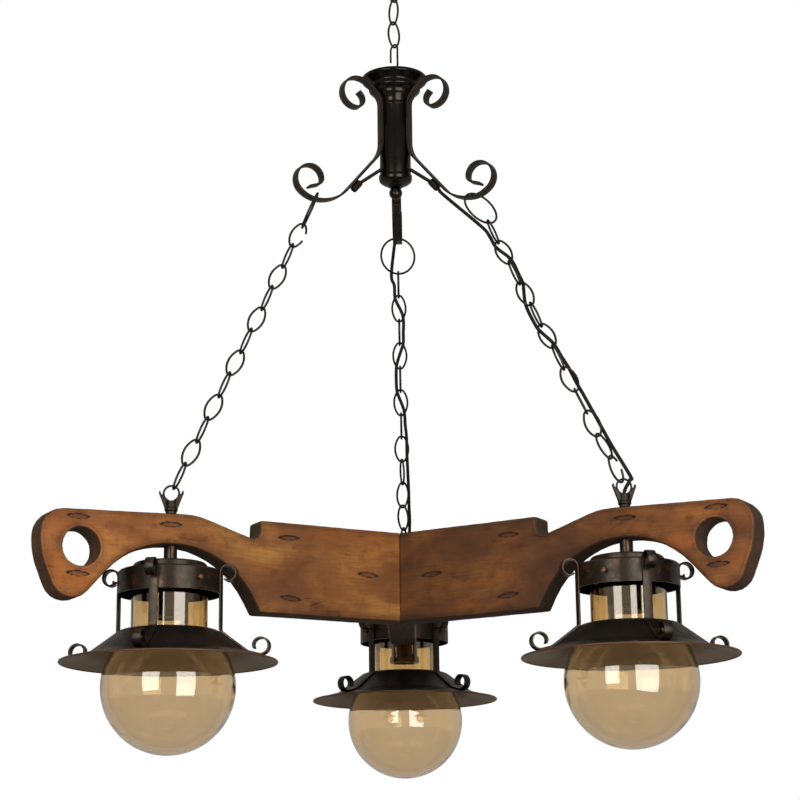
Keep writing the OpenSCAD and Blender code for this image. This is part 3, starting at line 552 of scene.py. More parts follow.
def waxedWalnut(side):
    v, tone = walnutValues, walnutValues[side]
    look = Look("waxedWalnut_" + side)
    lying = look.shade("Mapping", {"Vector": look.coords, "Location": (tone["shift"], 0, 0),
                                   "Rotation": (0, 0, radians(-sideAzimuth[side]))})
    fine, cloud = 1000 / v["grainWidth"], 1000 / v["cloudSize"]
    fibre = look.noise(look.scaled(lying, (fine / 16, fine / 2, fine)), 1, 4, 0.6)
    clouds = look.scaled(lying, (cloud * 0.55, cloud, cloud * 1.2))
    figure = look.noise(clouds, 1, 5, 0.55, 0.6)
    patches = look.noise(clouds, 2.1, 3, 0.5, 0.3)
    colour = look.ramp(figure, (0.3, tone["deep"]), (0.5, tone["middle"]), (0.7, tone["light"]))
    colour = look.mix(look.ramp(fibre, (0.35, 0.45), (0.65, 0)), colour, tone["deep"])
    colour = look.mix(look.ramp(patches, (0.58, 0), (0.78, 0.6), smooth=True), colour, v["stain"])
    warm = look.noise(clouds, 1.4, 2)
    colour = look.mix(look.ramp(warm, (0.5, 0), (0.72, 0.4), smooth=True), colour, v["warm"])
    outward = look.mapped(look.part(lying, "X"), *[tone["shift"] + r for r in v["paleEndsSpan"]])
    colour = look.mix(outward, colour, v["paleEndsTone"], "MULTIPLY")
    mottle = look.noise(lying, 1000 / v["mottleSize"], 4, 0.7)
    colour = look.mix(look.ramp(mottle, (0.45, 0), (0.7, 0.5), smooth=True), colour, tone["deep"])
    # hair cracks run with the grain
    cell = look.node("ShaderNodeTexVoronoi", {"Vector": look.scaled(lying, (7, 40, 60)), "Scale": 1},
                     feature="DISTANCE_TO_EDGE")
    crack = look.times(look.ramp(cell.outputs["Distance"], (0, 1), (0.018, 0)),
                       look.ramp(patches, (0.6, 0), (0.68, 0.7)))
    colour = look.mix(crack, colour, v["edge"])
    # edges: a rubbed light lip, then the dark line that the wax leaves
    inward = look.maths("DIVIDE", look.attribute("edge"), v["edgeWidth"])
    uneven = look.maths("MULTIPLY_ADD", patches, 0.12, inward)
    line = look.ramp(uneven, (0.08, 0.97), (0.13, 0.5), (0.17, 0.08), (0.22, 0.12), (0.28, 0.4),
                     (0.34, 0.16), (0.6, 0), smooth=True)
    colour = look.mix(line, colour, v["edge"])
    rim = look.attribute("rim")
    sawn = look.mix(look.ramp(fibre, (0.35, 0), (0.7, 0.8)), v["sawn"], v["sawnPale"])
    colour = look.mix(look.ramp(rim, (0.35, 0), (0.95, 0.85), smooth=True), colour, sawn)
    # gouges: painted shade, from the mark
    colour = look.mix(look.ramp(look.attribute("mark"), (0.15, 0), (0.6, 0.96)), colour, v["gouge"])
    dull = look.ramp(patches, (0.3, v["gloss"][0]), (0.7, v["gloss"][1]))
    relief = look.bump(fibre, 0.35, 0.0004)
    return look.set({
        "Base Color": colour, "Roughness": look.mix(rim, dull, v["sawnGloss"]), "Specular IOR Level": 0.25,
        "Normal": look.bump(crack, 0.6, 0.0008, relief, invert=True)})


for side in sides:
    carveBoard(side, waxedWalnut(side))
print("boards carved")

# wrought iron, blackened in oil and rubbed: near black, brown where hands and cloths reach, softly pitted
# each with its black and rubbed tones, how much is rubbed, roughness, sizes of pits and patches, and relief
ironValues = {
    "blackenedHubIron": ("#0b0907", "#1f1710", (0.5, 0.8), (0.13, 0.24), 1.2, 14, 0.05),
    "blackenedStrapIron": ("#15110d", "#3b2e22", (0.38, 0.72), (0.3, 0.48), 1, 11, 0.08),
    "chainIron": ("#100c08", "#3b2418", (0.45, 0.72), (0.3, 0.46), 0.9, 7, 0.06),
    "rubbedLanternIron": ("#18120d", "#5e3828", (0.5, 0.76), (0.23, 0.44), 1, 5.5, 0.08),
    "brushedShadeIron": ("#0f0b08", "#3b271a", (0.48, 0.8), (0.27, 0.48), 1.2, 8, 0.06),
    "copperedScrewSteel": ("#4a2a1c", "#9a6044", (0.3, 0.7), (0.3, 0.5), 0.6, 2, 0.03),
    "blackLampholderIron": ("#15110d", "#2a2119", (0.4, 0.8), (0.35, 0.5), 1, 8, 0.03),
}
# the rolled brim is painted brown: the rubbed edge of the roll and a painted highlight along it
brimWearAndHighlight, ironSheen = "#6a4630", "#ead8c2"


def workedIron(name):
    black, rubbed, much, rough, pit, patchSize, depth = ironValues[name]
    look = Look(name)
    patch = look.noise(look.coords, 1000 / patchSize / 2, 5, 0.65, 0.5)
    pits = look.noise(look.coords, 1000 / pit / 2, 3)
    worn = look.times(look.ramp(patch, (much[0], 0), (much[1], 1), smooth=True),
                      look.ramp(pits, (0.35, 0.55), (0.65, 1)))
    colour = look.mix(worn, black, rubbed)
    # the roll of the brim takes the brown of wear and painted highlight
    colour = look.mix(look.ramp(look.attribute("brim"), (0.2, 0), (0.9, 0.75)), colour, brimWearAndHighlight)
    forged = look.bump(patch, 0.5, depth * 4 * mm)
    return look.set({
        "Base Color": colour, "Metallic": 0.35, "Specular IOR Level": 0.8, "Specular Tint": ironSheen,
        "Roughness": look.mapped(patch, 0.3, 0.7, rough[1], rough[0]),
        "Normal": look.bump(pits, 0.35, depth * mm, forged)})


iron = {name: workedIron(name) for name in ironValues}

# flat bars: one tree sweeps a rounded bar along a bent path and repeats it round an axis
barTree, given = newTree("flatBar", Width="Float", Thickness="Float", Corner="Float", Hammer="Float",
                         Count="Int", Turn="Float", Axis="Vector")
section = barTree.grow("CurvePrimitiveQuadrilateral", {"Width": given["Width"], "Height": given["Thickness"]})
rounded = barTree.grow("FilletCurve", {"Curve": section, "Count": 3, "Radius": given["Corner"]}, mode="POLY")
line = barTree.grow("MeshToCurve", {"Mesh": given["Geometry"]})
line = barTree.grow("SetCurveNormal", {"Curve": line}, mode="MINIMUM_TWIST")
bar = sweep(barTree, line, rounded)
blow = barTree.times(barTree.shade("TexNoise", {"Scale": 110, "Detail": 2}), given["Hammer"])
inward = barTree.shade("VectorMath", {0: barTree.grow("InputNormal"), "Scale": blow}, operation="SCALE")
inward = barTree.shade("VectorMath", {0: inward, "Scale": -1}, operation="SCALE")
hammered = barTree.grow("SetPosition", {"Geometry": bar, "Offset": inward})
stations = barTree.grow("Points", {"Count": given["Count"], "Position": given["Axis"]})
share = barTree.maths("DIVIDE", 2 * pi, given["Count"])
angle = barTree.maths("MULTIPLY_ADD", barTree.grow("InputIndex"), share, given["Turn"])
placed = barTree.grow("InstanceOnPoints", {
    "Points": stations, "Instance": hammered, "Rotation": barTree.along(angle)})
endTree(barTree, placed, given["Material"])


def flatBars(name, path, v, values):
    sizes = {key.capitalize(): v[key] * mm for key in ("width", "thickness", "corner", "hammer")}
    return grown(pathPiece(name, [(x, z) for x, z, heading in path]), barTree, {**sizes, **values})


scrollValues = {
    "width": 12.5, "thickness": 2.8, "corner": 0.55, "hammer": 0.12, "start": (21.4, -234.7),
    "lower": [(25, 0), bend(40, 40.2), (64.6, 0), bend(53.6, 49.8), bend(36, 40), bend(20, 50),
              bend(20.5, 90), bend(16, 90), bend(9, 70), (13, 0)],
    "upper": [(25, 0), bend(24, -47), (10, 0), bend(28, -43), bend(22, -90), bend(19, -90), bend(11, -90),
              bend(11, -45), (5, 0)],
}
for side in sides:
    v = scrollValues
    path = barPath(v["upper"], v["start"], 90)[::-1] + barPath(v["lower"], v["start"], -90)[1:]
    strap = flatBars("strap_" + side, path, v, {
        "Count": 1, "Turn": radians(sideAzimuth[side]), "Axis": (0.0, 0.0, 0.0),
        "Material": iron["blackenedStrapIron"]})
    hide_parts("scroll_" + side)
    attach(strap, "chandelier")
print("scroll straps bent")

lanternValues = {"lid": -830.913, "radius": 304, "slope": 37, "flare": 15}


def lanternMatrix(side, z=0):
    return sideMatrix(side, lanternValues["radius"] * mm, (lanternValues["lid"] + z) * mm)


cageValues = {
    "width": 10.5, "thickness": 2.2, "corner": 0.45, "hammer": 0.1, "curl": 9.3, "curlIn": 2.511,
    "curlTurns": (250, 70), "step": 8,
    "top": (61.1, -13.95), "foot": -79.783, "footBend": 3.96, "footCut": 1.97439, "run": 33.46236,
    "kneeBend": 24.2, "brimRun": 9.24599, "straps": 4, "turn": {"left": 50, "right": 45, "rear": 45},
}
for side in sides:
    v = cageValues
    slope, flare = lanternValues["slope"], lanternValues["flare"]
    (long, short), inner = v["curlTurns"], v["curl"] - v["curlIn"]
    upper = barPath([bend(v["curl"], -long), bend(inner, -short)], v["top"], 90, v["step"])
    lower = barPath([
        (v["top"][1] - v["foot"] - v["footCut"], 0), bend(v["footBend"], 90 - slope), (v["run"], 0),
        bend(v["kneeBend"], slope - flare), (v["brimRun"], 0), bend(v["curl"], long), bend(inner, short)],
        v["top"], -90, v["step"])
    cage = flatBars("cageStraps_" + side, upper[::-1] + lower[1:], v, {
        "Count": v["straps"], "Turn": radians(v["turn"][side] + sideAzimuth[side]),
        "Axis": tuple(lanternMatrix(side).translation), "Material": iron["rubbedLanternIron"]})
    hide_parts("cage_" + side)
    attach(cage, "chandelier")
print("cages bent")

# chains: every link is swept from the wire of its CAD solid's own place, with a weld on one side
linkValues = {
    "wire": 2.8, "length": 38.3, "width": 21, "ring": 47.8, "sides": 14,
    "weld": 0.1, "weldLength": 3,
    "gap": 12,  # half of the angle at which an open link stands open
    "slack": 0.4, "widest": 30,  # tell open links, closed links and rings apart by their width
}


def linkOutline(v, gap=0, step=9):
    a, b = (v["length"] - v["wire"]) / 2, (v["width"] - v["wire"]) / 2
    end = 0.3 * a
    k = ((a - end) ** 2 - (b - end) ** 2) / (2 * (b - end))
    half = degrees(atan2(a - end, k))
    arcs = [(-k, 0, b + k, -half, 2 * half), (0, a - end, end, half, 180 - 2 * half),
            (k, 0, b + k, 180 - half, 2 * half), (0, end - a, end, 180 + half, 180 - 2 * half)]
    if gap:
        arcs = [(-k, 0, b + k, gap, half - gap)] + arcs[1:] + [(-k, 0, b + k, -half, half - gap)]
    points = []
    for x, z, radius, start, sweep in arcs:
        count = max(4, ceil(abs(sweep) / step))
        points += arc((x, z), radius, [start + sweep * i / count for i in range(count)])
    return points + (arc((-k, 0), b + k, [-gap]) if gap else [])


linkTree, given = newTree("chainLinks", Path="Object", Wire="Float", Weld="Float")
path = linkTree.node("GeometryNodeObjectInfo", {"Object": given["Path"]}).outputs["Geometry"]
loop = linkTree.grow("MeshToCurve", {"Mesh": path})
place = linkTree.grow("InputPosition")
height = linkTree.maths("ABSOLUTE", linkTree.part(place, "Z"))
near = linkTree.mapped(height, 0, linkValues["weldLength"] * mm, 1, 0, smooth=True)
bulge = linkTree.times(near, linkTree.maths("GREATER_THAN", linkTree.part(place, "X"), 0.002))
bulge = linkTree.maths("MULTIPLY_ADD", bulge, given["Weld"], 1)
loop = linkTree.grow("SetCurveRadius", {"Curve": loop, "Radius": bulge})
link = wired(linkTree, loop, given["Wire"], linkValues["sides"])
facing = linkTree.node("GeometryNodeInputNamedAttribute", {"Name": "facing"}, data_type="FLOAT_VECTOR")
hung = linkTree.grow("InstanceOnPoints", {
    "Points": linkTree.grow("MeshToPoints", {"Mesh": given["Geometry"]}), "Instance": link,
    "Rotation": facing.outputs["Attribute"]})
endTree(linkTree, hung, given["Material"])


def solidsOf(node):
    # the separate solids of a CAD node, as lists of points
    shape = welded(nodes[node].data)
    seen, solids = set(), []
    for vertex in shape.verts:
        if vertex.index in seen:
            continue
        seen.add(vertex.index)
        group, waiting = [], [vertex]
        while waiting:
            v = waiting.pop()
            group.append(tuple(v.co))
            for other in [e.other_vert(v) for e in v.link_edges]:
                if other.index not in seen:
                    seen.add(other.index)
                    waiting.append(other)
        solids.append(np.array(group))
    shape.free()
    return solids


def standing(points):
    # middle of a link, its turn (Z along it, Y square to its plane, X to the opened side) and its width
    middle = points.mean(0)
    axes = np.linalg.eigh((points - middle).T @ (points - middle))[1]
    z, y = axes[:, 2], axes[:, 0]
    frameAxes = np.array([np.cross(y, z), y, z])
    turned = (points - middle) @ frameAxes.T
    low, high = turned.min(0), turned.max(0)
    centre = (low + high) / 2
    ends = turned[np.abs(turned[:, 2] - centre[2]) > 0.42 * (high[2] - low[2]), 0]
    centre[0] = (ends.min() + ends.max()) / 2
    middle = middle + centre @ frameAxes
    if centre[0] - low[0] < high[0] - centre[0]:
        frameAxes[:2] *= -1
    return middle, Matrix(frameAxes.T.tolist()).to_euler(), (high[0] - low[0]) / mm


whole = linkValues["width"] - linkValues["slack"]
linkPaths = [  # each wire path with the least and the greatest width of the links that it makes
    (pathPiece("closedPath", linkOutline(linkValues), True), whole, linkValues["widest"]),
    (pathPiece("openPath", linkOutline(linkValues, linkValues["gap"])), 0, whole),
    (pathPiece("ringPath", arc((0, 0), linkValues["ring"] / 2, range(0, 360, 6)), True),
     linkValues["widest"], np.inf),
]


def hangLinks(name, node, material):
    rows = [standing(points) for points in solidsOf(node)]
    pieces = []
    for path, least, most in linkPaths:
        members = [r for r in rows if least < r[2] <= most]
        if not members:
            continue
        carrier = meshPiece(name, [r[0] for r in members], [])
        setAttribute(carrier.data, "facing", [tuple(r[1]) for r in members], "FLOAT_VECTOR", "vector")
        pieces.append(grown(carrier, linkTree, {
            "Path": path, "Wire": linkValues["wire"] * mm, "Weld": linkValues["weld"], "Material": material}))
    return joined(name, pieces, material)


linkBodies = {"chain_" + s: "chandelier" for s in sides}
linkBodies |= {"top_link_" + s: "link_" + s for s in ("upper", "middle", "lower")}
for node, body in linkBodies.items():
    links = hangLinks(node + "_links", node, iron["chainIron"])
    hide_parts(node)
    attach(links, body)
print("chains hung")

# hub: turned pieces with eased corners
hubValues = {
    "rim": -167.7, "cupTop": -302.7, "cupLow": -318.7, "ease": 0.9, "tubeEase": 0.4,
    "bell": [(0, 0), (42.5, 0), (42.5, -4), (39, -6.5), (35.5, -9), (33.5, -11.5), (33.5, -17.5), (31, -20),
             (28, -22), (26.6, -24), (26.2, -26), (24.2, -28.6), (22.9, -30.8), (21.6, -33), (20.8, -34.6),
             (20.2, -37.5), (20, -42), (18.4, -42), (18.4, -35), (24, -25), (26.5, -12), (32.5, -3), (0, -3)],
    "tube": [(18.4, 0), (20, 0), (20, 93), (18.4, 93)],
    "cup": [(0, 0), (21.4, 0), (21.4, -5), (20.4, -8), (16.4, -11), (10.9, -13), (8.4, -16), (0, -16)],
    "ballRadius": 8.4,
    "ballTop": 0.88,  # where the ball is cut off under the cup, as a share of its radius
}
v = hubValues
ball = arc((0, 0), v["ballRadius"], np.linspace(-90, degrees(asin(v["ballTop"])), 40))
ball = [(0, ball[0][1])] + ball[1:] + [(0, ball[-1][1])]
for node, profile, z in [("hub_bell", softened(v["bell"], v["ease"]), v["rim"]),
                         ("hub_tube", softened(v["tube"], v["tubeEase"]), v["cupTop"]),
                         ("hub_cup", softened(v["cup"], v["ease"]), v["cupTop"]),
                         ("hub_ball", ball, v["cupLow"] - v["ballTop"] * v["ballRadius"])]:
    piece = lathe(node + "_turned", [(x, y + z) for x, y in profile])
    dress(piece, iron["blackenedHubIron"])
    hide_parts(node)
    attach(piece, "chandelier")
forgedValues = {"voxel": 0.6, "rounds": 3}
for node in ["hub_hook"] + ["gland_" + s for s in sides] + ["eye_" + s for s in sides]:
    piece = remeshed(node, node + "_forged", forgedValues["voxel"], forgedValues["rounds"])
    dress(piece, iron["blackenedStrapIron" if node == "hub_hook" else "chainIron"])
    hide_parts(node)
    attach(piece, "chandelier")
print("hub turned")

shadeValues = {
    "hole": 46, "drop": -77.5, "shoulder": (56.46, -78.4151), "knee": (92.3986, -105.497),
    "brim": (123.7, -113.884), "shoulderBend": 15.2, "kneeBend": 24.2, "sheet": 1.2, "roll": 1.3,
    "lead": 2, "leadSlope": 5, "shoulderTurn": 32, "kneeTurn": 22,
    "rollFrom": 137.5, "rollTo": -167.5, "segments": 192,
}
# inside of the shade: thin smoke-grey lacquer on the sheet, duller than the outside; painted paler for light
# from below
lacquer = Look("greyLacquerInside")
mottle = lacquer.noise(lacquer.coords, 28, 4, 0.6)
liningWithPaintedUnderlight = lacquer.set({
    "Base Color": lacquer.ramp(mottle, (0.3, "#75634c"), (0.7, "#998363")),
    "Roughness": lacquer.ramp(mottle, (0.3, 0.5), (0.7, 0.62)), "Specular IOR Level": 0.3,
    "Normal": lacquer.bump(lacquer.noise(lacquer.coords, 420, 2), 0.25, 0.0001)})

for side in sides:
    v = shadeValues
    slope, lead = v["leadSlope"], v["lead"]
    cut = v["shoulderBend"] * tan(radians(v["shoulderTurn"] / 2))
    kneeCut = v["kneeBend"] * tan(radians(v["kneeTurn"] / 2))
    start = (v["shoulder"][0] - (cut + lead) * cosd(slope), v["shoulder"][1] + (cut + lead) * sind(slope))
    slant, skirt = dist(v["shoulder"], v["knee"]), dist(v["knee"], v["brim"])
    path = barPath([(lead, 0), bend(v["shoulderBend"], -v["shoulderTurn"]), (slant - cut - kneeCut, 0),
                    bend(v["kneeBend"], v["kneeTurn"]), (skirt - kneeCut, 0)], start, -slope)[:-1]
    path = [(v["hole"], v["drop"], -slope)] + path
    top, under = offsetPath(path, v["sheet"] / 2), offsetPath(path, -v["sheet"] / 2)
    roll = arc(v["brim"], v["roll"], np.linspace(v["rollFrom"], v["rollTo"], 22))
    profile = top + roll + under[::-1]
    piece = lathe("shade_" + side + "_spun", profile, v["segments"])
    dress(piece, iron["brushedShadeIron"], liningWithPaintedUnderlight)
    row = np.repeat(np.arange(len(profile)), v["segments"])
    rolled = len(top) + len(roll)
    inside = (row >= rolled - 1) & (row < len(profile) - 1)
    piece.data.polygons.foreach_set("material_index", inside.astype(np.int32))
    # marks the roll, which the iron's material paints brown as wear and painted highlight
    setAttribute(piece.data, "brim", (row >= len(top)) & (row < rolled))
    piece.data.transform(lanternMatrix(side))
    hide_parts("shade_" + side)
    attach(piece, "chandelier")
print("shades spun")

# blown glass, tinted champagne amber in the melt: clear, with slow waves and a few seeds
globeValues = {
    "drop": 141.5, "bulb": 75.75, "neck": 42.75, "shoulder": 6, "shoulderTurn": 53.3925,
    "neckLength": 56.8761, "wall": 2.5, "lip": 1.2, "step": 2.5, "segments": 160,
    "tint": "#ebe0cc", "tintDeep": "#ecdab4", "deepens": (-92, -70),
    "melt": (0.634, 0.416, 0.05), "density": 122, "wave": 32, "seedSpacing": 11,
}
v = globeValues
look = Look("blownAmberGlass")
neck = look.mapped(look.part(look.coords, "Z"), *[(lanternValues["lid"] + z) * mm for z in v["deepens"]])
cloud = look.noise(look.coords, 9, 2)
depth = look.maths("MULTIPLY_ADD", cloud, 0.16, neck, clamp=True)
body = look.shade("VolumeAbsorption", {"Color": (*v["melt"], 1), "Density": v["density"]})
look.feed(look.tree.nodes["Material Output"].inputs["Volume"], body)
relief = look.bump(look.noise(look.coords, 1000 / v["wave"], 1), 0.4, 0.001)
seeds = look.shade("TexVoronoi", {"Vector": look.coords, "Scale": 1000 / v["seedSpacing"]})
seeds = look.ramp(seeds, (0, 1), (0.05, 0.8), (0.075, 0), smooth=True)
amber = look.set({
    "Base Color": look.mix(depth, v["tint"], v["tintDeep"]), "Transmission Weight": 1, "IOR": 1.55,
    # the lustre that bright lamps leave in it
    "Coat Weight": 0.8, "Coat IOR": 1.7, "Coat Roughness": 0.01,
    "Roughness": look.ramp(cloud, (0.3, 0), (0.8, 0.02)),
    "Normal": look.bump(seeds, 0.5, 0.0004, relief)})

for side in sides:
    path = barPath([bend(v["bulb"], 90 + v["shoulderTurn"]), bend(v["shoulder"], -v["shoulderTurn"]),
                    (v["neckLength"], 0)], (0, -v["drop"] - v["bulb"]), 0, v["step"])
    outer, inner = [[(max(0, x), z) for x, z in offsetPath(path, d)] for d in (-v["wall"] / 2, v["wall"] / 2)]
    outer[0], inner[0] = (0, outer[0][1]), (0, inner[0][1])
    lip = [(v["neck"] + v["wall"] / 2 * cosd(a), outer[-1][1] + v["lip"] * (sind(a) - 1))
           for a in np.linspace(15, 165, 7)]
    outer = [p for p in outer if p[1] < lip[0][1] - 0.5]
    inner = [p for p in inner if p[1] < lip[-1][1] - 0.5]
    piece = lathe("globe_" + side + "_blown", outer + lip + inner[::-1], v["segments"])
    piece.data.transform(lanternMatrix(side))
    dress(piece, amber)
    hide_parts("globe_" + side)
    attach(piece, "globe_" + side)
print("globes blown")

# lampholders: black phenolic shell with an outer thread, brass screw shell inside
holderValues = {
    "top": -5.5, "radius": 18, "collar": 20, "bore": 13.5, "boreDepth": 26, "length": 52,
    "threadPitch": 2.6, "threadDepth": 0.8, "segments": 64,
    "shellPitch": 3.62, "shellTurns": 6.0, "shellWire": 1, "shellGap": 0.1, "shellUp": 2.2,
    "button": [(0, 23.5), (3.5, 23.5), (4.2, 24.2), (4.2, 25.6), (0, 25.6)], "buttonSegments": 32,
}
brass = speckled("nickeledBrassShell", (160, 4), ("#8f7440", "#c2a668"), (0.4, 0.22), (0.2, 0.0001),
                 {"Metallic": 1})

tree, given = newTree("screwShell", Radius="Float", Pitch="Float", Turns="Float", Wire="Float")
tall = tree.times(given["Pitch"], given["Turns"])
coil = tree.grow("CurveSpiral", {
    "Resolution": 40, "Rotations": given["Turns"], "Start Radius": given["Radius"],
    "End Radius": given["Radius"], "Height": tall})
endTree(tree, wired(tree, coil, given["Wire"], 8), given["Material"])

for side in sides:
    v = holderValues
    top, r, collar, bore, nick = v["top"], v["radius"], v["collar"], v["bore"], v["threadDepth"]
    low = top - 6 - v["length"]
    ribs = []
    z = low + 8
    while z < top - 16:
        ribs += [(r - nick, z), (r, z + v["threadPitch"] * 0.5)]
        z += v["threadPitch"]
    floorZ = low + v["boreDepth"]
    profile = [(bore, low), (collar - 0.6, low), (collar, low + 0.8), (collar, low + 7.2),
               (collar - 0.8, low + 8)] + ribs
    profile += [(r, top - 12), (11, top - 6), (10, top - 6), (10, top), (5.05, top), (5.05, top - 8.4),
                (4, top - 8.6), (4, floorZ + 1), (5, floorZ), (bore, floorZ)]
    holder = lathe("holder_" + side, profile, v["segments"])
    place = lanternMatrix(side)
    holder.data.transform(place)
    dress(holder, iron["blackLampholderIron"])
    shell = grown(meshPiece("shell_" + side, [(0, 0, 0)], []), tree, {
        "Radius": (bore - v["shellWire"] / 2 - v["shellGap"]) * mm, "Pitch": v["shellPitch"] * mm,
        "Turns": v["shellTurns"], "Wire": v["shellWire"] * mm, "Material": brass})
    shell.data.transform(place @ Matrix.Translation((0, 0, (low + v["shellUp"]) * mm)))
    button = lathe("button_" + side, [(x, low + z) for x, z in v["button"]], v["buttonSegments"])
    button.data.transform(place)
    dress(button, brass)
    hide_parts("socket_" + side)
    for piece in (holder, shell, button):
        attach(piece, "chandelier")
print("lampholders fitted")

# gallery screws: domed knurled heads, one tree for all nine
screwValues = {
    "shank": 1.5, "from": 44.3, "to": 63.5, "head": 2.8, "headHeight": 2.4, "knurls": 22, "tooth": 0.34,
    "z": -23, "turn": {"left": -20, "right": 30, "rear": 0},
}
tree, given = newTree("galleryScrew", Shank="Float", Length="Float", Head="Float", Height="Float",
                      Knurls="Int")

inner = tree.times(given["Head"], 0.93)
low, middle = [tree.times(given["Height"], share) for share in (0.7, 0.35)]
shank = tree.grow("MeshCylinder", {"Vertices": 20, "Radius": given["Shank"], "Depth": given["Length"]})
drum = tree.grow("MeshCylinder", {"Vertices": 44, "Radius": inner, "Depth": low})
dome = tree.grow("MeshUVSphere", {"Segments": 40, "Rings": 16, "Radius": inner})
flat = tree.times(tree.maths("DIVIDE", given["Height"], inner), 0.3)
rim = tree.grow("MeshCircle", {"Vertices": given["Knurls"], "Radius": inner})
spin = tree.times(tree.maths("DIVIDE", 2 * pi, given["Knurls"]), tree.grow("InputIndex"))
tooth = screwValues["tooth"] * mm
cube = tree.grow("MeshCube", {"Size": tree.along(low, tooth, tooth)})
ribs = tree.grow("InstanceOnPoints", {"Points": rim, "Instance": cube, "Rotation": tree.along(spin)})
whole = tree.node("GeometryNodeJoinGeometry")
for part, z in (shank, tree.times(given["Length"], -0.5)), (drum, middle), (dome, low), (ribs, middle):
    scale = tree.along(flat, 1, 1) if part == dome else (1, 1, 1)
    tree.feed(whole.inputs[0], tree.grow("Transform", {
        "Geometry": part, "Translation": tree.along(z), "Scale": scale}))
endTree(tree, whole.outputs[0], given["Material"])
for side in sides:
    v = screwValues
    for k in range(3):
        screw = grown(meshPiece("screw_%s_%d_knurled" % (side, k + 1), [(0, 0, 0)], []), tree, {
            "Shank": v["shank"] * mm, "Length": (v["to"] - v["from"]) * mm, "Head": v["head"] * mm,
            "Height": v["headHeight"] * mm, "Knurls": v["knurls"], "Material": iron["copperedScrewSteel"]})
        screw.data.transform(
            lanternMatrix(side, v["z"])
            @ Matrix.Rotation(radians(v["turn"][side] + 120 * k), 4, "Z")
            @ Matrix.Translation((v["to"] * mm, 0, 0)) @ Matrix.Rotation(radians(90), 4, "Y"))
        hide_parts("screw_%s_%d" % (side, k + 1))
        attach(screw, "screw_%s_%d" % (side, k + 1))
print("screws driven")

# cords: black braided sleeve over a round flex, held at the gland and in the eye
glandRoute = [(57.9, 0, -327.1), (61.2, 0, -330.9), (64.4, 0, -334.7), (72.1, 0, -343.9)]
eyeRoute = [(304, 0, -755.9), (304, 0, -765.9)]
cordValues = {
    "diameter": 4.5, "full": 0.98,  # the sleeve fills this share of it
    "braidPitch": 5, "strands": 8, "steps": 6, "around": 14,
    "right": glandRoute + [
        (124.2, -0.7, -394.9), (133.9, 1, -408), (141.2, 1.2, -422.2), (146.3, 2.9, -428.6),
        (157.4, 6.3, -438.9), (164.4, 6.9, -448.8), (170.3, 6.1, -461.5), (176.7, 6.2, -476.2),
        (178.1, 5, -485.5), (180.7, 2.3, -500.9), (183.8, 0.8, -510.5), (189.5, 0.4, -523.3),
        (196.8, 0.6, -537.5), (202.4, 2.3, -544.8), (213.2, 5.2, -556.3), (219.7, 5.8, -565.4),
        (225.7, 6, -576.9), (234.7, 6.7, -592.5), (243.4, 6.6, -610.6), (253, 5.9, -628.1),
        (262.3, 5.6, -645.9), (271.6, 5.4, -663.6), (280.8, 4.5, -681.3), (290.3, 3.8, -698.9),
        (311.4, 3.2, -735.9), (311.5, 1.3, -739.9), (310.1, -0.1, -743.9), (307.5, -0.7, -747.9),
        (305.2, -0.5, -751.9)] + eyeRoute,
    "rear": glandRoute + [
        (129.2, 8.9, -392.5), (136.2, 5.4, -406.9), (143.2, 4.9, -421.3), (146.3, 2.3, -428.7),
        (152.4, -4.2, -441.3), (158.1, -6.2, -451.8), (164.7, -5.7, -464.2), (171.2, -5.3, -478.8),
        (174.8, -2.3, -487.1), (181.4, 2.7, -500.6), (186.2, 4.7, -509.4), (192.3, 5.1, -521.9),
        (199.4, 4.6, -536.3), (202.8, 2.1, -544.6), (209.4, -3.5, -558.1), (214.7, -5.5, -567.8),
        (220.4, -6, -579.5), (228.2, -7.5, -595.6), (237, -7.6, -613.6), (246.7, -8.1, -631.1),
        (255.9, -8.7, -648.9), (265.1, -9.2, -666.7), (274.8, -9.3, -684.2), (284.5, -9.8, -701.7),
        (305.3, -8, -735.9), (307, -7, -739.9), (307.4, -5.1, -743.9), (306.5, -2.6, -747.9),
        (305.1, -0.7, -751.9)] + eyeRoute,
}
look = Look("braidedCordSleeve")
route = look.shade("UVMap", uv_map="route")
sweeps = []
for sign in (1, -1):
    turned = look.times(look.part(route, "X"), 2 * pi * cordValues["strands"])
    pace = sign * 2 * pi * 1000 / cordValues["braidPitch"] * 2
    sweeps.append(look.maths("SINE", look.maths("MULTIPLY_ADD", look.part(route, "Y"), pace, turned)))
braid = look.times(*sweeps)
dust = look.noise(look.coords, 60, 3)
yarn = look.mix(look.ramp(braid, (0, 0), (0.5, 1)), "#090807", "#15120e")
sleeve = look.set({
    "Base Color": look.mix(look.ramp(dust, (0.45, 0), (0.75, 0.5)), yarn, "#1d1812"),
    "Roughness": look.ramp(dust, (0.3, 0.5), (0.7, 0.68)), "Specular IOR Level": 0.3,
    "Normal": look.bump(braid, 0.5, 0.0002)})

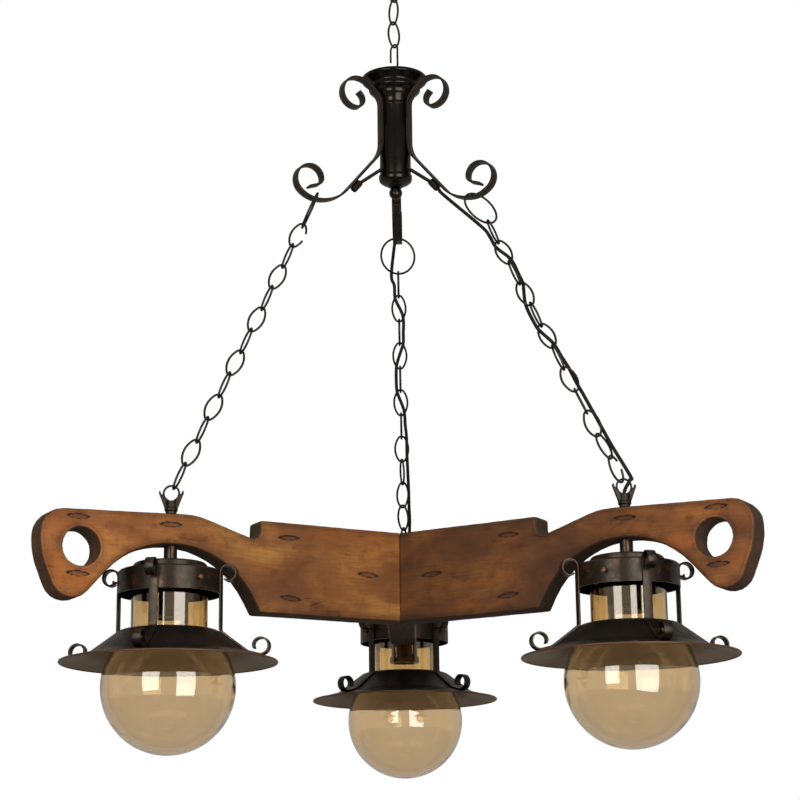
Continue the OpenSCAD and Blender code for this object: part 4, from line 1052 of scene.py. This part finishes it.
for side in ("right", "rear"):
    v = cordValues
    points = [Vector(p) for p in v[side]]
    fine = []
    for i in range(len(points) - 1):
        a, b, c, d = [points[min(max(0, i + n), len(points) - 1)] for n in (-1, 0, 1, 2)]
        for t in [k / v["steps"] for k in range(v["steps"])]:
            fine.append(0.5 * (2 * b + (c - a) * t + (2 * a - 5 * b + 4 * c - d) * t * t
                               + (3 * b - a - 3 * c + d) * t ** 3))
    fine.append(points[-1])
    around, radius, vertices, lengths = v["around"], v["diameter"] * v["full"] / 2, [], [0]
    normal = Vector((0, 1, 0))
    for j, p in enumerate(fine):
        after = fine[min(j + 1, len(fine) - 1)]
        tangent = (after - fine[max(j - 1, 0)]).normalized()
        normal = (normal - tangent * normal.dot(tangent)).normalized()
        other = tangent.cross(normal)
        lengths.append(lengths[-1] + (after - p).length)
        for a in [2 * pi * k / around for k in range(around)]:
            vertices.append((p + radius * (cos(a) * normal + sin(a) * other)) * mm)
    faces = [(j * around + k, j * around + (k + 1) % around, (j + 1) * around + (k + 1) % around,
              (j + 1) * around + k) for j in range(len(fine) - 1) for k in range(around)]
    faces += [tuple(reversed(range(around))), tuple(range((len(fine) - 1) * around, len(fine) * around))]
    piece = meshPiece("cordSleeve_" + side, vertices, faces)
    layer = piece.data.uv_layers.new(name="route")
    for polygon in piece.data.polygons:
        for corner, loop in zip(polygon.vertices, polygon.loop_indices):
            j, k = divmod(corner, around)
            if k == 0 and any(n % around == around - 1 for n in polygon.vertices):
                k = around
            layer.data[loop].uv = (k / around, lengths[j] * mm)
    piece.data.transform(sideMatrix(side))
    dress(piece, sleeve)
    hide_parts("cord_" + side)
    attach(piece, "chandelier")
print("cords drawn")

# CAD nodes that keep their own shape, by the start of their names
dowelOak = speckled("sawnOakDowel", (240, 4, 0.5, 0.4), ("#a0783f", "#c9a469"), (0.6, 0.75), (0.3, 0.0002))
kept = {
    ("ceiling_plate",): iron["blackenedHubIron"], ("stem_sleeves", "gallery"): iron["rubbedLanternIron"],
    ("hub_rod", "conduit", "stem_nuts"): iron["blackenedStrapIron"],
    ("stem_left", "stem_right", "stem_rear"): iron["chainIron"], ("yoke_dowels",): dowelOak,
}
for name, node in nodes.items():
    for starts, finish in kept.items():
        if name.startswith(starts):
            for slot in node.material_slots:
                slot.material = finish
for path, least, most in linkPaths:
    bpy.data.objects.remove(path)
print("kept nodes dressed")
